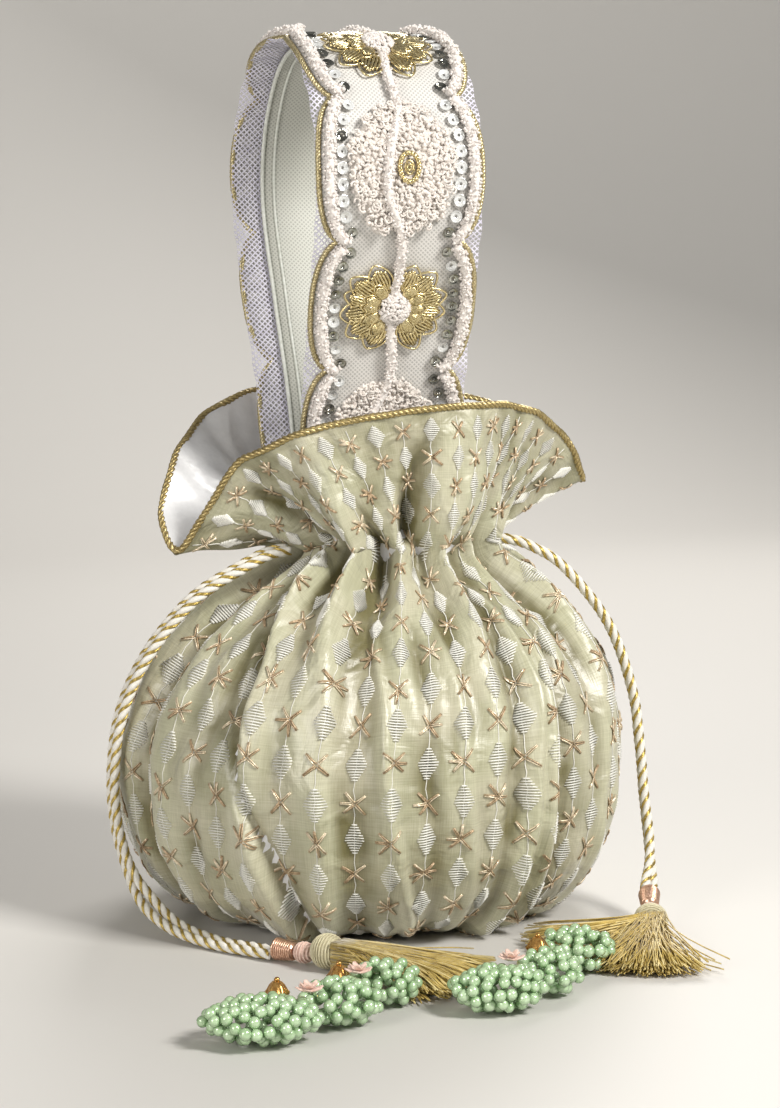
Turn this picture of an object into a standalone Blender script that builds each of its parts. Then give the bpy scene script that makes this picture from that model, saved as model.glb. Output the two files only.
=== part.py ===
"""Potli bag: a gathered silk pouch with a bracelet handle, two drawcords, two tassels and pearl clusters.

Metres, +Z up. The origin is the centre of the flat base. The handle arches in the YZ plane, its front limb
at -Y, and the two drawcords leave the gathered neck at -X and +X.
"""
import math

import bmesh
import bpy
from mathutils import Vector

# Pouch
BASE_RADIUS = 0.050
PANEL_THICKNESS = 0.0014
SILK_THICKNESS = 0.0008
LINING_THICKNESS = 0.0006
LAYER_GAP = 0.0004
CHANNEL_DEPTH = 0.0078
CHANNEL_REACH = 0.020
NECK_HEIGHT = 0.148
NECK_RADIUS = 0.042
CHANNEL_CORD_HEIGHT = 0.1494
NECK_OFFSET = 0.010
LEAN_START = 0.070
AROUND = 36
# radius and height of the body from the base edge to the neck
BODY_PROFILE = (
    (0.0505, 0.0000), (0.0640, 0.0020), (0.0800, 0.0080), (0.0925, 0.0200), (0.1000, 0.0380), (0.1030, 0.0600),
    (0.1015, 0.0800), (0.0940, 0.1020), (0.0800, 0.1220), (0.0600, 0.1380), (NECK_RADIUS, NECK_HEIGHT),
)
# collar: half width, half depth, height of the front and back, height of the two spouts
COLLAR_ROWS = (
    (0.0460, 0.0400, 0.1590, 0.1530),
    (0.0590, 0.0420, 0.1740, 0.1570),
    (0.0760, 0.0440, 0.1900, 0.1600),
    (0.0900, 0.0460, 0.2050, 0.1640),
)
PIPING_RADIUS = 0.0015
CHANNEL_CORD_RADIUS = 0.0013

# Handle
HANDLE_ROUTE = (
    (0.0030, -0.0170, 0.1640), (0.0030, -0.0240, 0.2050), (0.0015, -0.0400, 0.2450), (0.0, -0.0565, 0.2840),
    (0.0, -0.0535, 0.3155), (-0.0005, -0.0330, 0.3410), (-0.0015, 0.0, 0.3495), (-0.0025, 0.0330, 0.3410),
    (-0.0035, 0.0535, 0.3155), (-0.0040, 0.0565, 0.2840), (-0.0035, 0.0400, 0.2450), (-0.0020, 0.0240, 0.2050),
    (0.0, 0.0170, 0.1640),
)
HANDLE_OFFSET = -0.004
NET_HALF_WIDTH = 0.0335
WAIST_HALF_WIDTH = 0.0235
SCALLOP_HALF_WIDTH = 0.0335
HANDLE_LINING_HALF_WIDTH = 0.0215
BAND_THICKNESS = 0.0006
BAND_GAP = 0.0004
BAND_STEPS = 56
MEDALLIONS = 8
MEDALLION_PITCH = 0.056
GOLD_MEDALLIONS = (2, 4, 5, 7)
EDGE_BRAID_RADIUS = 0.0010
RING_RADIUS = 0.0019
RING_ACROSS = 0.0283
RING_ALONG = 0.0255
MEDALLION_LIFT = 0.0012
MEDALLION_RISE = 0.0030
MEDALLION_ACROSS = 0.0225
MEDALLION_ALONG = 0.0220
MEDALLION_SIDES = 12

# Cords: each drawcord is doubled, its two strands side by side
STRAND_RADIUS = 0.0020
STRAND_SPREAD = 0.0023
FLOOR_TURN = 0.030
BELLY_CENTRE = Vector((0.0, 0.0, 0.060))
LEFT_CORD_ROUTE = (
    (-0.0375, -0.0150, 0.1490), (-0.0460, -0.0155, 0.1475), (-0.0570, -0.0160, 0.1425),
    (-0.0765, -0.0150, 0.1305), (-0.0945, -0.0125, 0.1090), (-0.1050, -0.0100, 0.0850),
    (-0.1085, -0.0100, 0.0600), (-0.1075, -0.0140, 0.0380), (-0.1020, -0.0230, 0.0180),
    (-0.0930, -0.0390, 0.0065), (-0.0805, -0.0580, 0.0026), (-0.0680, -0.0750, 0.0026),
    (-0.0620, -0.0830, 0.0028),
)
RIGHT_CORD_ROUTE = (
    (0.0570, -0.0100, 0.1490), (0.0660, -0.0120, 0.1460), (0.0795, -0.0150, 0.1370),
    (0.0965, -0.0200, 0.1145), (0.1050, -0.0260, 0.0880), (0.1060, -0.0330, 0.0660),
    (0.1050, -0.0410, 0.0460), (0.1035, -0.0510, 0.0290), (0.1010, -0.0590, 0.0190),
    (0.0985, -0.0645, 0.0145), (0.0968, -0.0684, 0.0122),
)

# Tassels: neck point where the cord ends, the way the tassel lies, and how far its neck is held off the floor
LEFT_TASSEL = ((-0.0620, -0.0834), (0.62, -0.78), 0.0)
RIGHT_TASSEL = ((0.0962, -0.0700), (-0.34, -0.94), 0.0070)
WHIPPING_LENGTH = 0.0090
BEAD_RADIUS = 0.0042
HEAD_RADIUS = 0.0068
SKIRT_LENGTH = 0.0560
PEARL_CLUSTERS = {
    "left_pearl_cluster_a": ((-0.0960, -0.1920), 0.0200, 0.0150),
    "left_pearl_cluster_b": ((-0.0630, -0.1770), 0.0140, 0.0120),
    "left_pearl_cluster_c": ((-0.0400, -0.1560), 0.0125, 0.0105),
    "right_pearl_cluster_a": ((-0.0040, -0.1760), 0.0165, 0.0130),
    "right_pearl_cluster_b": ((0.0210, -0.1590), 0.0110, 0.0105),
    "right_pearl_cluster_c": ((0.0420, -0.1310), 0.0125, 0.0105),
}
CLUSTER_HEIGHT = 0.0170
FLOWER_CAPS = {
    "left_flower_cap_a": (-0.0860, -0.1760),
    "left_flower_cap_b": (-0.0590, -0.1610),
    "right_flower_cap": (0.0230, -0.1430),
}
THREAD_FLOWERS = {
    "left_thread_flower_a": (-0.0775, -0.1880),
    "left_thread_flower_b": (-0.0540, -0.1690),
    "right_thread_flower": (0.0040, -0.1680),
}


def clear_scene():
    for item in list(bpy.data.objects):
        bpy.data.objects.remove(item, do_unlink=True)


def material(name, colour, roughness, metallic=0.0):
    made = bpy.data.materials.new(name)
    made.use_nodes = True
    shader = made.node_tree.nodes["Principled BSDF"]
    shader.inputs["Base Color"].default_value = (*colour, 1.0)
    shader.inputs["Roughness"].default_value = roughness
    shader.inputs["Metallic"].default_value = metallic
    return made


def place(obj, collection, finish):
    collection.objects.link(obj)
    obj.data.materials.append(finish)
    return obj


def mesh_object(name, bm):
    mesh = bpy.data.meshes.new(name)
    bm.to_mesh(mesh)
    bm.free()
    mesh.shade_smooth()
    return bpy.data.objects.new(name, mesh)


def tube(name, points, radius, cyclic=False, resolution=2):
    curve = bpy.data.curves.new(name, "CURVE")
    curve.dimensions = "3D"
    spline = curve.splines.new("POLY")
    spline.points.add(len(points) - 1)
    for control, point in zip(spline.points, points):
        control.co = (*point, 1.0)
    spline.use_cyclic_u = cyclic
    curve.bevel_depth = radius
    curve.bevel_resolution = resolution
    curve.use_fill_caps = not cyclic
    return bpy.data.objects.new(name, curve)


def smooth_route(points, count):
    """Evenly spaced points on a Catmull-Rom curve through the route's own points."""
    route = [Vector(p) for p in points]
    ends = [route[0] * 2 - route[1], *route, route[-1] * 2 - route[-2]]
    fine = []
    for i in range(len(route) - 1):
        a, b, c, d = ends[i:i + 4]
        for k in range(24):
            t = k / 24
            fine.append(0.5 * (2 * b + (c - a) * t + (2 * a - 5 * b + 4 * c - d) * t * t
                               + (3 * b - a - 3 * c + d) * t ** 3))
    fine.append(route[-1])
    run = [0.0]
    for a, b in zip(fine, fine[1:]):
        run.append(run[-1] + (b - a).length)
    picked = []
    j = 0
    for k in range(count):
        target = run[-1] * k / (count - 1)
        while j < len(run) - 2 and run[j + 1] < target:
            j += 1
        part = (target - run[j]) / max(run[j + 1] - run[j], 1e-9)
        picked.append(fine[j].lerp(fine[j + 1], min(max(part, 0.0), 1.0)))
    return picked


# ---- pouch ----

def pouch_rings():
    """Rings of the pouch wall from the base edge over the belly and neck to the lip of the collar."""
    rings = []
    for radius, height in BODY_PROFILE:
        lean = NECK_OFFSET * max(0.0, (height - LEAN_START) / (NECK_HEIGHT - LEAN_START))
        rings.append([(lean + radius * math.cos(a), radius * math.sin(a), height) for a in angles()])
    for half_width, half_depth, high, low in COLLAR_ROWS:
        ring = []
        for a in angles():
            rise = abs(math.sin(a)) ** 1.3
            ring.append((NECK_OFFSET * 0.6 + half_width * math.cos(a), half_depth * math.sin(a),
                         low + (high - low) * rise))
        rings.append(ring)
    return rings


def angles():
    return [2 * math.pi * i / AROUND for i in range(AROUND)]


def wall_mesh(rings, inset=0.0, channel=0.0):
    """The pouch wall, moved in by an inset, and further towards the axis round the neck by the channel depth."""
    bm = bmesh.new()
    rows = [[bm.verts.new(p) for p in ring] for ring in rings]
    for low, high in zip(rows, rows[1:]):
        for i in range(AROUND):
            j = (i + 1) % AROUND
            bm.faces.new((low[i], low[j], high[j], high[i]))
    bm.normal_update()
    moved = []
    for vert in (v for row in rows for v in row):
        near = max(0.0, 1 - abs(vert.co.z - NECK_HEIGHT) / CHANNEL_REACH)
        inward = Vector((NECK_OFFSET - vert.co.x, -vert.co.y, 0)).normalized()
        moved.append((vert, vert.co - vert.normal * inset + inward * (channel * near)))
    for vert, co in moved:
        vert.co = co
    return bm


def solidify(obj, thickness, offset=-1.0):
    wall = obj.modifiers.new("Wall", "SOLIDIFY")
    wall.thickness = thickness
    wall.offset = offset
    return obj


def build_pouch(collection):
    silk = material("silk", (0.60, 0.58, 0.44), 0.45)
    satin = material("satin", (0.80, 0.80, 0.80), 0.35)
    gold = material("gold_braid", (0.70, 0.58, 0.28), 0.35, 0.8)
    rings = pouch_rings()
    place(solidify(mesh_object("outer_pouch", wall_mesh(rings)), SILK_THICKNESS), collection, silk)

    panel = bmesh.new()
    bmesh.ops.create_cone(panel, cap_ends=True, segments=AROUND, radius1=BASE_RADIUS - 0.0006,
                          radius2=BASE_RADIUS - 0.0006, depth=PANEL_THICKNESS)
    bmesh.ops.translate(panel, verts=panel.verts, vec=(0, 0, PANEL_THICKNESS / 2))
    place(mesh_object("base_panel", panel), collection, silk)

    # the lining is a bag of its own: it starts with a closed floor above the base panel and ends under the lip
    floor_height = PANEL_THICKNESS + LAYER_GAP
    inner = wall_mesh(rings[1:-1], SILK_THICKNESS + LAYER_GAP, CHANNEL_DEPTH)
    inner.verts.ensure_lookup_table()
    first = list(inner.verts)[:AROUND]
    for v in first:
        v.co = Vector((v.co.x, v.co.y, 0)) * 0.94 + Vector((0, 0, floor_height + 0.0030))
    hub = inner.verts.new((0, 0, floor_height + 0.0012))
    for i in range(AROUND):
        inner.faces.new((first[(i + 1) % AROUND], first[i], hub))
    place(solidify(mesh_object("inner_lining", inner), LINING_THICKNESS), collection, satin)

    lip = []
    for low, high in zip(rings[-2], rings[-1]):
        onward = (Vector(high) - Vector(low)).normalized()
        lip.append(Vector(high) + onward * (PIPING_RADIUS + 3 * LAYER_GAP))
    place(tube("lip_piping", lip, PIPING_RADIUS, cyclic=True, resolution=1), collection, gold)

    radius = NECK_RADIUS - SILK_THICKNESS - CHANNEL_CORD_RADIUS - 2 * LAYER_GAP
    loop = [(NECK_OFFSET + radius * math.cos(a), radius * math.sin(a), CHANNEL_CORD_HEIGHT) for a in angles()]
    place(tube("channel_cord", loop, CHANNEL_CORD_RADIUS, cyclic=True, resolution=1), collection,
          material("channel_cord", (0.85, 0.83, 0.78), 0.7))


# ---- handle ----

def band_frame():
    """Evenly spaced stations along the handle, each with its outward normal, and the run length."""
    line = smooth_route(HANDLE_ROUTE, BAND_STEPS + 1)
    stations = []
    for i, point in enumerate(line):
        along = line[min(i + 1, BAND_STEPS)] - line[max(i - 1, 0)]
        normal = Vector((1, 0, 0)).cross(along).normalized()
        if normal.dot(point - Vector((0, 0, 0.27))) < 0:
            normal = -normal
        stations.append((point + Vector((HANDLE_OFFSET, 0, 0)), normal))
    length = sum((b - a).length for a, b in zip(line, line[1:]))
    return stations, length


def scallop_half_width(run, length):
    """Half width of the scalloped band, widest at each medallion; a waist lies over the crest."""
    from_crest = run - length / 2
    phase = (from_crest / MEDALLION_PITCH + 0.5) % 1.0
    bulge = math.sqrt(max(0.0, 1 - (2 * min(phase, 1 - phase)) ** 2.4))
    return WAIST_HALF_WIDTH + (SCALLOP_HALF_WIDTH - WAIST_HALF_WIDTH) * bulge


def band_layer(name, stations, half_width, lift, thickness):
    """One closed layer of the band, its lower face lifted off the band's middle line."""
    bm = bmesh.new()
    rings = []
    for (point, normal), half in zip(stations, half_width):
        side = Vector((half, 0, 0))
        low = point + normal * lift
        high = low + normal * thickness
        rings.append([bm.verts.new(p) for p in (low - side, low + side, high + side, high - side)])
    for a, b in zip(rings, rings[1:]):
        for i in range(4):
            j = (i + 1) % 4
            bm.faces.new((a[i], a[j], b[j], b[i]))
    bm.faces.new(rings[0][::-1])
    bm.faces.new(rings[-1])
    bmesh.ops.recalc_face_normals(bm, faces=bm.faces)
    return mesh_object(name, bm)


def station_at(stations, length, run):
    position = min(max(run / length, 0.0), 1.0) * BAND_STEPS
    i = min(int(position), BAND_STEPS - 1)
    part = position - i
    point = stations[i][0].lerp(stations[i + 1][0], part)
    normal = stations[i][1].lerp(stations[i + 1][1], part).normalized()
    return point, normal


def build_handle(collection):
    net = material("handle_net", (0.80, 0.78, 0.84), 0.6)
    cloth = material("handle_cloth", (0.80, 0.76, 0.72), 0.8)
    gold = material("handle_gold", (0.72, 0.58, 0.28), 0.35, 0.85)
    pile = material("chenille", (0.83, 0.77, 0.74), 0.95)
    stations, length = band_frame()
    runs = [length * i / BAND_STEPS for i in range(BAND_STEPS + 1)]
    step = BAND_THICKNESS + BAND_GAP
    place(band_layer("handle_lining", stations, [HANDLE_LINING_HALF_WIDTH] * len(runs), -step, BAND_THICKNESS),
          collection, net)
    place(band_layer("handle_net", stations, [NET_HALF_WIDTH] * len(runs), 0.0, BAND_THICKNESS), collection, net)
    widths = [scallop_half_width(run, length) - 2 * EDGE_BRAID_RADIUS - 0.0006 for run in runs]
    place(band_layer("handle_facing", stations, widths, step, BAND_THICKNESS), collection, cloth)

    for name, sign in (("scallop_braid_left", -1), ("scallop_braid_right", 1)):
        line = []
        for (point, normal), run in zip(stations, runs):
            half = scallop_half_width(run, length) - EDGE_BRAID_RADIUS
            line.append(point + normal * (step + EDGE_BRAID_RADIUS) + Vector((sign * half, 0, 0)))
        place(tube(name, line, EDGE_BRAID_RADIUS, resolution=1), collection, gold)

    top = 2 * step + MEDALLION_LIFT
    for k in range(MEDALLIONS):
        run = length / 2 + (k - (MEDALLIONS - 1) / 2) * MEDALLION_PITCH
        pad = medallion_mesh(stations, length, run, top)
        place(mesh_object(f"medallion_{k + 1}", pad), collection,
              gold if k + 1 in GOLD_MEDALLIONS else pile)
        ring = []
        for i in range(16):
            a = 2 * math.pi * i / 16
            point, normal = station_at(stations, length, run + RING_ALONG * math.cos(a))
            ring.append(point + normal * (top + RING_RADIUS) + Vector((RING_ACROSS * math.sin(a), 0, 0)))
        place(tube(f"chenille_ring_{k + 1}", ring, RING_RADIUS, cyclic=True, resolution=1), collection, pile)


def medallion_mesh(stations, length, run, lift):
    """A domed oval that follows the band: two rings and a hub on each face."""
    bm = bmesh.new()
    faces = []
    for side, rise in ((0, 0.0), (1, MEDALLION_RISE)):
        rings = []
        for share, height in ((1.0, 0.7), (0.5, 1.0)):
            ring = []
            for i in range(MEDALLION_SIDES):
                a = 2 * math.pi * i / MEDALLION_SIDES
                point, normal = station_at(stations, length, run + MEDALLION_ALONG * share * math.cos(a))
                across = Vector((MEDALLION_ACROSS * share * math.sin(a), 0, 0))
                ring.append(bm.verts.new(point + normal * (lift + rise * height) + across))
            rings.append(ring)
        point, normal = station_at(stations, length, run)
        hub = bm.verts.new(point + normal * (lift + rise))
        for i in range(MEDALLION_SIDES):
            j = (i + 1) % MEDALLION_SIDES
            bm.faces.new((rings[0][i], rings[0][j], rings[1][j], rings[1][i]))
            bm.faces.new((rings[1][i], rings[1][j], hub))
        faces.append(rings[0])
    for i in range(MEDALLION_SIDES):
        j = (i + 1) % MEDALLION_SIDES
        bm.faces.new((faces[0][i], faces[0][j], faces[1][j], faces[1][i]))
    bmesh.ops.recalc_face_normals(bm, faces=bm.faces)
    return bm


# ---- cords, tassels and clusters ----

def build_cord(collection, side, route, count):
    cord = material(f"{side}_drawcord", (0.85, 0.80, 0.66), 0.7)
    line = smooth_route(route, count)
    sideways = []
    for i, point in enumerate(line):
        along = (line[min(i + 1, count - 1)] - line[max(i - 1, 0)]).normalized()
        held = min(max(point.z / FLOOR_TURN, 0.0), 1.0)
        outward = (point - BELLY_CENTRE).normalized() * held + Vector((0, 0, 1 - held))
        across = along.cross(outward).normalized()
        if sideways and across.dot(sideways[-1]) < 0:
            across = -across
        sideways.append(across)
    for name, sign in (("front", -1), ("rear", 1)):
        strand = [point + across * (sign * STRAND_SPREAD) for point, across in zip(line, sideways)]
        place(tube(f"{side}_drawcord_{name}", strand, STRAND_RADIUS), collection, cord)


def ball(name, centre, radii):
    bm = bmesh.new()
    bmesh.ops.create_uvsphere(bm, u_segments=12, v_segments=7, radius=1.0)
    for v in bm.verts:
        v.co = Vector((v.co.x * radii[0], v.co.y * radii[1], v.co.z * radii[2])) + Vector(centre)
    return mesh_object(name, bm)


def turned(name, start, way, profile, squash=1.0):
    """A solid turned about a line lying on the floor, from (distance along, radius, height of axis) stops."""
    bm = bmesh.new()
    across = Vector((-way.y, way.x, 0))
    rings = []
    for along, radius, height in profile:
        ring = []
        for i in range(12):
            a = 2 * math.pi * i / 12
            offset = across * (radius * math.cos(a)) + Vector((0, 0, radius * squash * math.sin(a)))
            ring.append(bm.verts.new(start + way * along + Vector((0, 0, height)) + offset))
        rings.append(ring)
    for a, b in zip(rings, rings[1:]):
        for i in range(12):
            j = (i + 1) % 12
            bm.faces.new((a[i], a[j], b[j], b[i]))
    bm.faces.new(rings[0][::-1])
    bm.faces.new(rings[-1])
    bmesh.ops.recalc_face_normals(bm, faces=bm.faces)
    return mesh_object(name, bm)


def build_tassel(collection, side, tassel):
    wire = material(f"{side}_wire", (0.75, 0.50, 0.38), 0.35, 0.9)
    thread = material(f"{side}_tassel_silk", (0.62, 0.48, 0.18), 0.5)
    start = Vector((*tassel[0], 0))
    way = Vector((*tassel[1], 0)).normalized()
    held = tassel[2]
    gap = 0.0004
    at = gap
    whipping = ((at, 0.0042, 0.0048 + held), (at + WHIPPING_LENGTH, 0.0032, 0.0044 + held * 0.65))
    place(turned(f"{side}_whipping", start, way, whipping), collection, wire)
    at += WHIPPING_LENGTH + gap + BEAD_RADIUS
    centre = start + way * at + Vector((0, 0, BEAD_RADIUS + 0.0008 + held * 0.35))
    place(ball(f"{side}_thread_bead", centre, (BEAD_RADIUS,) * 3), collection, wire)
    at += BEAD_RADIUS + gap + HEAD_RADIUS
    centre = start + way * at + Vector((0, 0, HEAD_RADIUS + 0.0002))
    place(ball(f"{side}_tassel_head", centre, (HEAD_RADIUS,) * 3), collection, thread)
    at += HEAD_RADIUS + gap
    skirt = ((at, 0.0045, 0.0065), (at + 0.3 * SKIRT_LENGTH, 0.0100, 0.0062),
             (at + SKIRT_LENGTH, 0.0170, 0.0046))
    squashes = turned(f"{side}_tassel_skirt", start, way, skirt)
    for v in squashes.data.vertices:
        middle = 0.0055
        v.co.z = min(max(middle + (v.co.z - middle) * 0.5, 0.0004), 0.0120)
    place(squashes, collection, thread)


def build_clusters(collection):
    pearl = material("mint_pearl", (0.42, 0.68, 0.42), 0.2)
    cap = material("flower_cap", (0.62, 0.34, 0.08), 0.3, 0.8)
    flower = material("thread_flower", (0.78, 0.56, 0.46), 0.8)
    for name, (centre, half_length, half_width) in PEARL_CLUSTERS.items():
        middle = (*centre, CLUSTER_HEIGHT / 2 + 0.0002)
        place(ball(name, middle, (half_length, half_width, CLUSTER_HEIGHT / 2)), collection, pearl)
    for name, centre in FLOWER_CAPS.items():
        place(ball(name, (*centre, 0.0156), (0.0045, 0.0045, 0.0030)), collection, cap)
    for name, centre in THREAD_FLOWERS.items():
        place(ball(name, (*centre, 0.0172), (0.0038, 0.0038, 0.0018)), collection, flower)


clear_scene()
bag = bpy.data.collections.new("potli_bag")
bpy.context.scene.collection.children.link(bag)
build_pouch(bag)
build_handle(bag)
build_cord(bag, "left", LEFT_CORD_ROUTE, 22)
build_cord(bag, "right", RIGHT_CORD_ROUTE, 18)
build_tassel(bag, "left", LEFT_TASSEL)
build_tassel(bag, "right", RIGHT_TASSEL)
build_clusters(bag)
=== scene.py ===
import math
import random

import bmesh
import bpy
import numpy as np
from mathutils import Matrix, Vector


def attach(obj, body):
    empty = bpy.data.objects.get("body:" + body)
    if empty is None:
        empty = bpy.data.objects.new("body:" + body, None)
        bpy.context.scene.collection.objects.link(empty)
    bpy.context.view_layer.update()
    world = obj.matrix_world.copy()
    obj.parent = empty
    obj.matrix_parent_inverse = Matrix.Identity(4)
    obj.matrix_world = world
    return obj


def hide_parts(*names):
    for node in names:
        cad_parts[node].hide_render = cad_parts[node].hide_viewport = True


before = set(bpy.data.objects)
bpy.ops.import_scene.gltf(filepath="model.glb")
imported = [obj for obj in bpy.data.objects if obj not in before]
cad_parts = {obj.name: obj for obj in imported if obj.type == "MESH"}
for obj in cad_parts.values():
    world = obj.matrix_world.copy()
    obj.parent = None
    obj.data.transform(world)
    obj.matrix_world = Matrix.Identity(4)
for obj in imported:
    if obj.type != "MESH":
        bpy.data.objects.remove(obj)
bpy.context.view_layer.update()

bpy.ops.object.select_all(action="DESELECT")

# ---- Studio: a seamless sweep, soft lights and the camera ----
# The bag stands on a plain sweep that curves up behind it. A large soft key hangs high at the front right, with a
# wide fill from the left and a low strip behind, and the sweep is clear when it is seen from its back.
sweep_line = [(-1.6, 0.0), (1.1, 0.0)]
sweep_line += [(1.1 + 0.5 * math.sin(a), 0.5 - 0.5 * math.cos(a)) for a in np.linspace(0.1, 1.5, 14)]
sweep_line += [(1.6, 0.6), (1.6, 2.2)]
sheet = bpy.data.meshes.new("studio_sweep")
sheet.from_pydata([(x, y, z - 0.0002) for y, z in sweep_line for x in (-2.2, 2.2)], [],
                  [(2 * i, 2 * i + 1, 2 * i + 3, 2 * i + 2) for i in range(len(sweep_line) - 1)])
sheet.polygons.foreach_set("use_smooth", [True] * len(sheet.polygons))
sweep_finish = bpy.data.materials.new("pale_sweep")
sweep_finish.use_nodes = True
sweep_finish.node_tree.nodes["Principled BSDF"].inputs["Base Color"].default_value = (0.60, 0.585, 0.56, 1)
sweep_finish.node_tree.nodes["Principled BSDF"].inputs["Roughness"].default_value = 0.55
sweep_tree = sweep_finish.node_tree
see_through = sweep_tree.nodes.new("ShaderNodeBsdfTransparent")
sweep_side = sweep_tree.nodes.new("ShaderNodeNewGeometry")
one_sided = sweep_tree.nodes.new("ShaderNodeMixShader")
sweep_tree.links.new(sweep_side.outputs["Backfacing"], one_sided.inputs[0])
sweep_tree.links.new(sweep_tree.nodes["Principled BSDF"].outputs[0], one_sided.inputs[1])
sweep_tree.links.new(see_through.outputs[0], one_sided.inputs[2])
sweep_tree.links.new(one_sided.outputs[0], sweep_tree.nodes["Material Output"].inputs["Surface"])
sheet.materials.append(sweep_finish)
floor = bpy.data.objects.new("studio_sweep", sheet)
bpy.context.scene.collection.objects.link(floor)


def soft_light(name, place, target, size, power, tint):
    """A square area light turned to a target."""
    bpy.ops.object.light_add(type="AREA", location=place)
    lamp = bpy.context.object
    lamp.name = name
    lamp.data.size = size
    lamp.data.energy = power
    lamp.data.color = tint
    lamp.rotation_euler = (Vector(target) - Vector(place)).to_track_quat("-Z", "Y").to_euler()


soft_light("key_light", (0.70, -1.05, 1.10), (0, 0, 0.12), 0.42, 27, (1.0, 0.98, 0.94))
soft_light("fill_light", (-1.15, -0.85, 0.60), (0, 0, 0.12), 0.55, 9.0, (1.0, 0.97, 0.93))
soft_light("back_light", (0.55, 1.10, 0.90), (0, 0, 0.18), 0.60, 11, (1.0, 0.97, 0.93))

world = bpy.data.worlds.new("studio")
world.use_nodes = True
world.node_tree.nodes["Background"].inputs["Color"].default_value = (0.90, 0.89, 0.87, 1)
world.node_tree.nodes["Background"].inputs["Strength"].default_value = 0.24
bpy.context.scene.world = world

CAMERA_PLACE = Vector((-0.3715, -1.2458, 0.3120))
CAMERA_TARGET = Vector((0.0086, -0.0026, 0.1437))
bpy.ops.object.camera_add(location=CAMERA_PLACE)
camera = bpy.context.object
camera.name = "studio_camera"
camera.rotation_euler = (CAMERA_TARGET - CAMERA_PLACE).to_track_quat("-Z", "Y").to_euler()
camera.data.lens = 104.9
camera.data.sensor_width = 36.0
camera.data.sensor_fit = "AUTO"
bpy.context.scene.camera = camera
bpy.context.scene.view_settings.view_transform = "Standard"


# ---- Drawcords: two white cotton cords, each doubled ----
# Each drawcord comes out of the gathered neck doubled and hangs down the belly to the floor. It is laid from two
# fat white plies, with fine gold yarns in the grooves, 4 mm thick, and its strands are whipped at the tassel.

def new_material(name, base, roughness, metallic=0.0, **sockets):
    """A Principled material with constant values set on its own sockets."""
    made = bpy.data.materials.new(name)
    made.use_nodes = True
    shader = made.node_tree.nodes["Principled BSDF"]
    shader.inputs["Base Color"].default_value = (*base, 1)
    shader.inputs["Roughness"].default_value = roughness
    shader.inputs["Metallic"].default_value = metallic
    for socket, value in sockets.items():
        shader.inputs[socket.replace("_", " ")].default_value = value
    return made


def add_node(tree, kind, **inputs):
    """A node with values set on its sockets."""
    made = tree.nodes.new(kind)
    for socket, value in inputs.items():
        made.inputs[socket.replace("_", " ")].default_value = value
    return made


def colour_mix(tree, dark=None, light=None, way="MIX"):
    """A node that blends two colours."""
    made = tree.nodes.new("ShaderNodeMix")
    made.data_type = "RGBA"
    made.blend_type = way
    for socket, colour in (("A", dark), ("B", light)):
        if colour:
            made.inputs[socket].default_value = (*colour, 1)
    return made


def flat_place(tree):
    """The place on the cloth laid flat, in millimetres."""
    made = tree.nodes.new("ShaderNodeUVMap")
    made.uv_map = "flat_mm"
    return made.outputs["UV"]


def mottle_group():
    """Shared soft colour variation: two colours blended by a noise on the piece's own place."""
    group = bpy.data.node_groups.new("thread_mottle", "ShaderNodeTree")
    for name, way, kind in (("Dark", "INPUT", "Color"), ("Light", "INPUT", "Color"), ("Scale", "INPUT", "Float"),
                            ("Color", "OUTPUT", "Color"), ("Height", "OUTPUT", "Float")):
        group.interface.new_socket(name, in_out=way, socket_type="NodeSocket" + kind)
    link = group.links.new
    entry, leave = group.nodes.new("NodeGroupInput"), group.nodes.new("NodeGroupOutput")
    where = group.nodes.new("ShaderNodeTexCoord")
    noise = add_node(group, "ShaderNodeTexNoise", Detail=5.0, Roughness=0.65)
    spread = add_node(group, "ShaderNodeMapRange", From_Min=0.32, From_Max=0.68)
    blend = colour_mix(group)
    link(where.outputs["Object"], noise.inputs["Vector"])
    link(entry.outputs["Scale"], noise.inputs["Scale"])
    link(noise.outputs["Fac"], spread.inputs["Value"])
    link(spread.outputs["Result"], blend.inputs["Factor"])
    link(entry.outputs["Dark"], blend.inputs["A"])
    link(entry.outputs["Light"], blend.inputs["B"])
    link(blend.outputs["Result"], leave.inputs["Color"])
    link(noise.outputs["Fac"], leave.inputs["Height"])
    return group


MOTTLE = mottle_group()


def mottled(name, dark, light, scale, roughness, metallic=0.0, bump=0.3, depth=0.0002, **sockets):
    """A thread, wire or bead material: mottled colour with a matching fine bump."""
    made = new_material(name, light, roughness, metallic, **sockets)
    tree = made.node_tree
    shader = tree.nodes["Principled BSDF"]
    group = tree.nodes.new("ShaderNodeGroup")
    group.node_tree = MOTTLE
    group.inputs["Dark"].default_value = (*dark, 1)
    group.inputs["Light"].default_value = (*light, 1)
    group.inputs["Scale"].default_value = scale
    relief = add_node(tree, "ShaderNodeBump", Strength=bump, Distance=depth)
    tree.links.new(group.outputs["Color"], shader.inputs["Base Color"])
    tree.links.new(group.outputs["Height"], relief.inputs["Height"])
    tree.links.new(relief.outputs["Normal"], shader.inputs["Normal"])
    return made


class Mesher:
    """Gathers many small shapes into one mesh, each with its own material index."""

    def __init__(self):
        self.verts = []
        self.faces = []
        self.looks = []
        self.count = 0

    def add(self, verts, faces, look=0):
        verts = np.asarray(verts, dtype=float)
        self.verts.append(verts)
        start = self.count
        for face in faces:
            self.faces.append(tuple(start + k for k in face))
            self.looks.append(look)
        self.count += len(verts)

    def build(self, name, materials):
        mesh = smooth_mesh(name, np.concatenate(self.verts).tolist(), self.faces, materials)
        mesh.polygons.foreach_set("material_index", self.looks)
        return shown(mesh)


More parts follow.
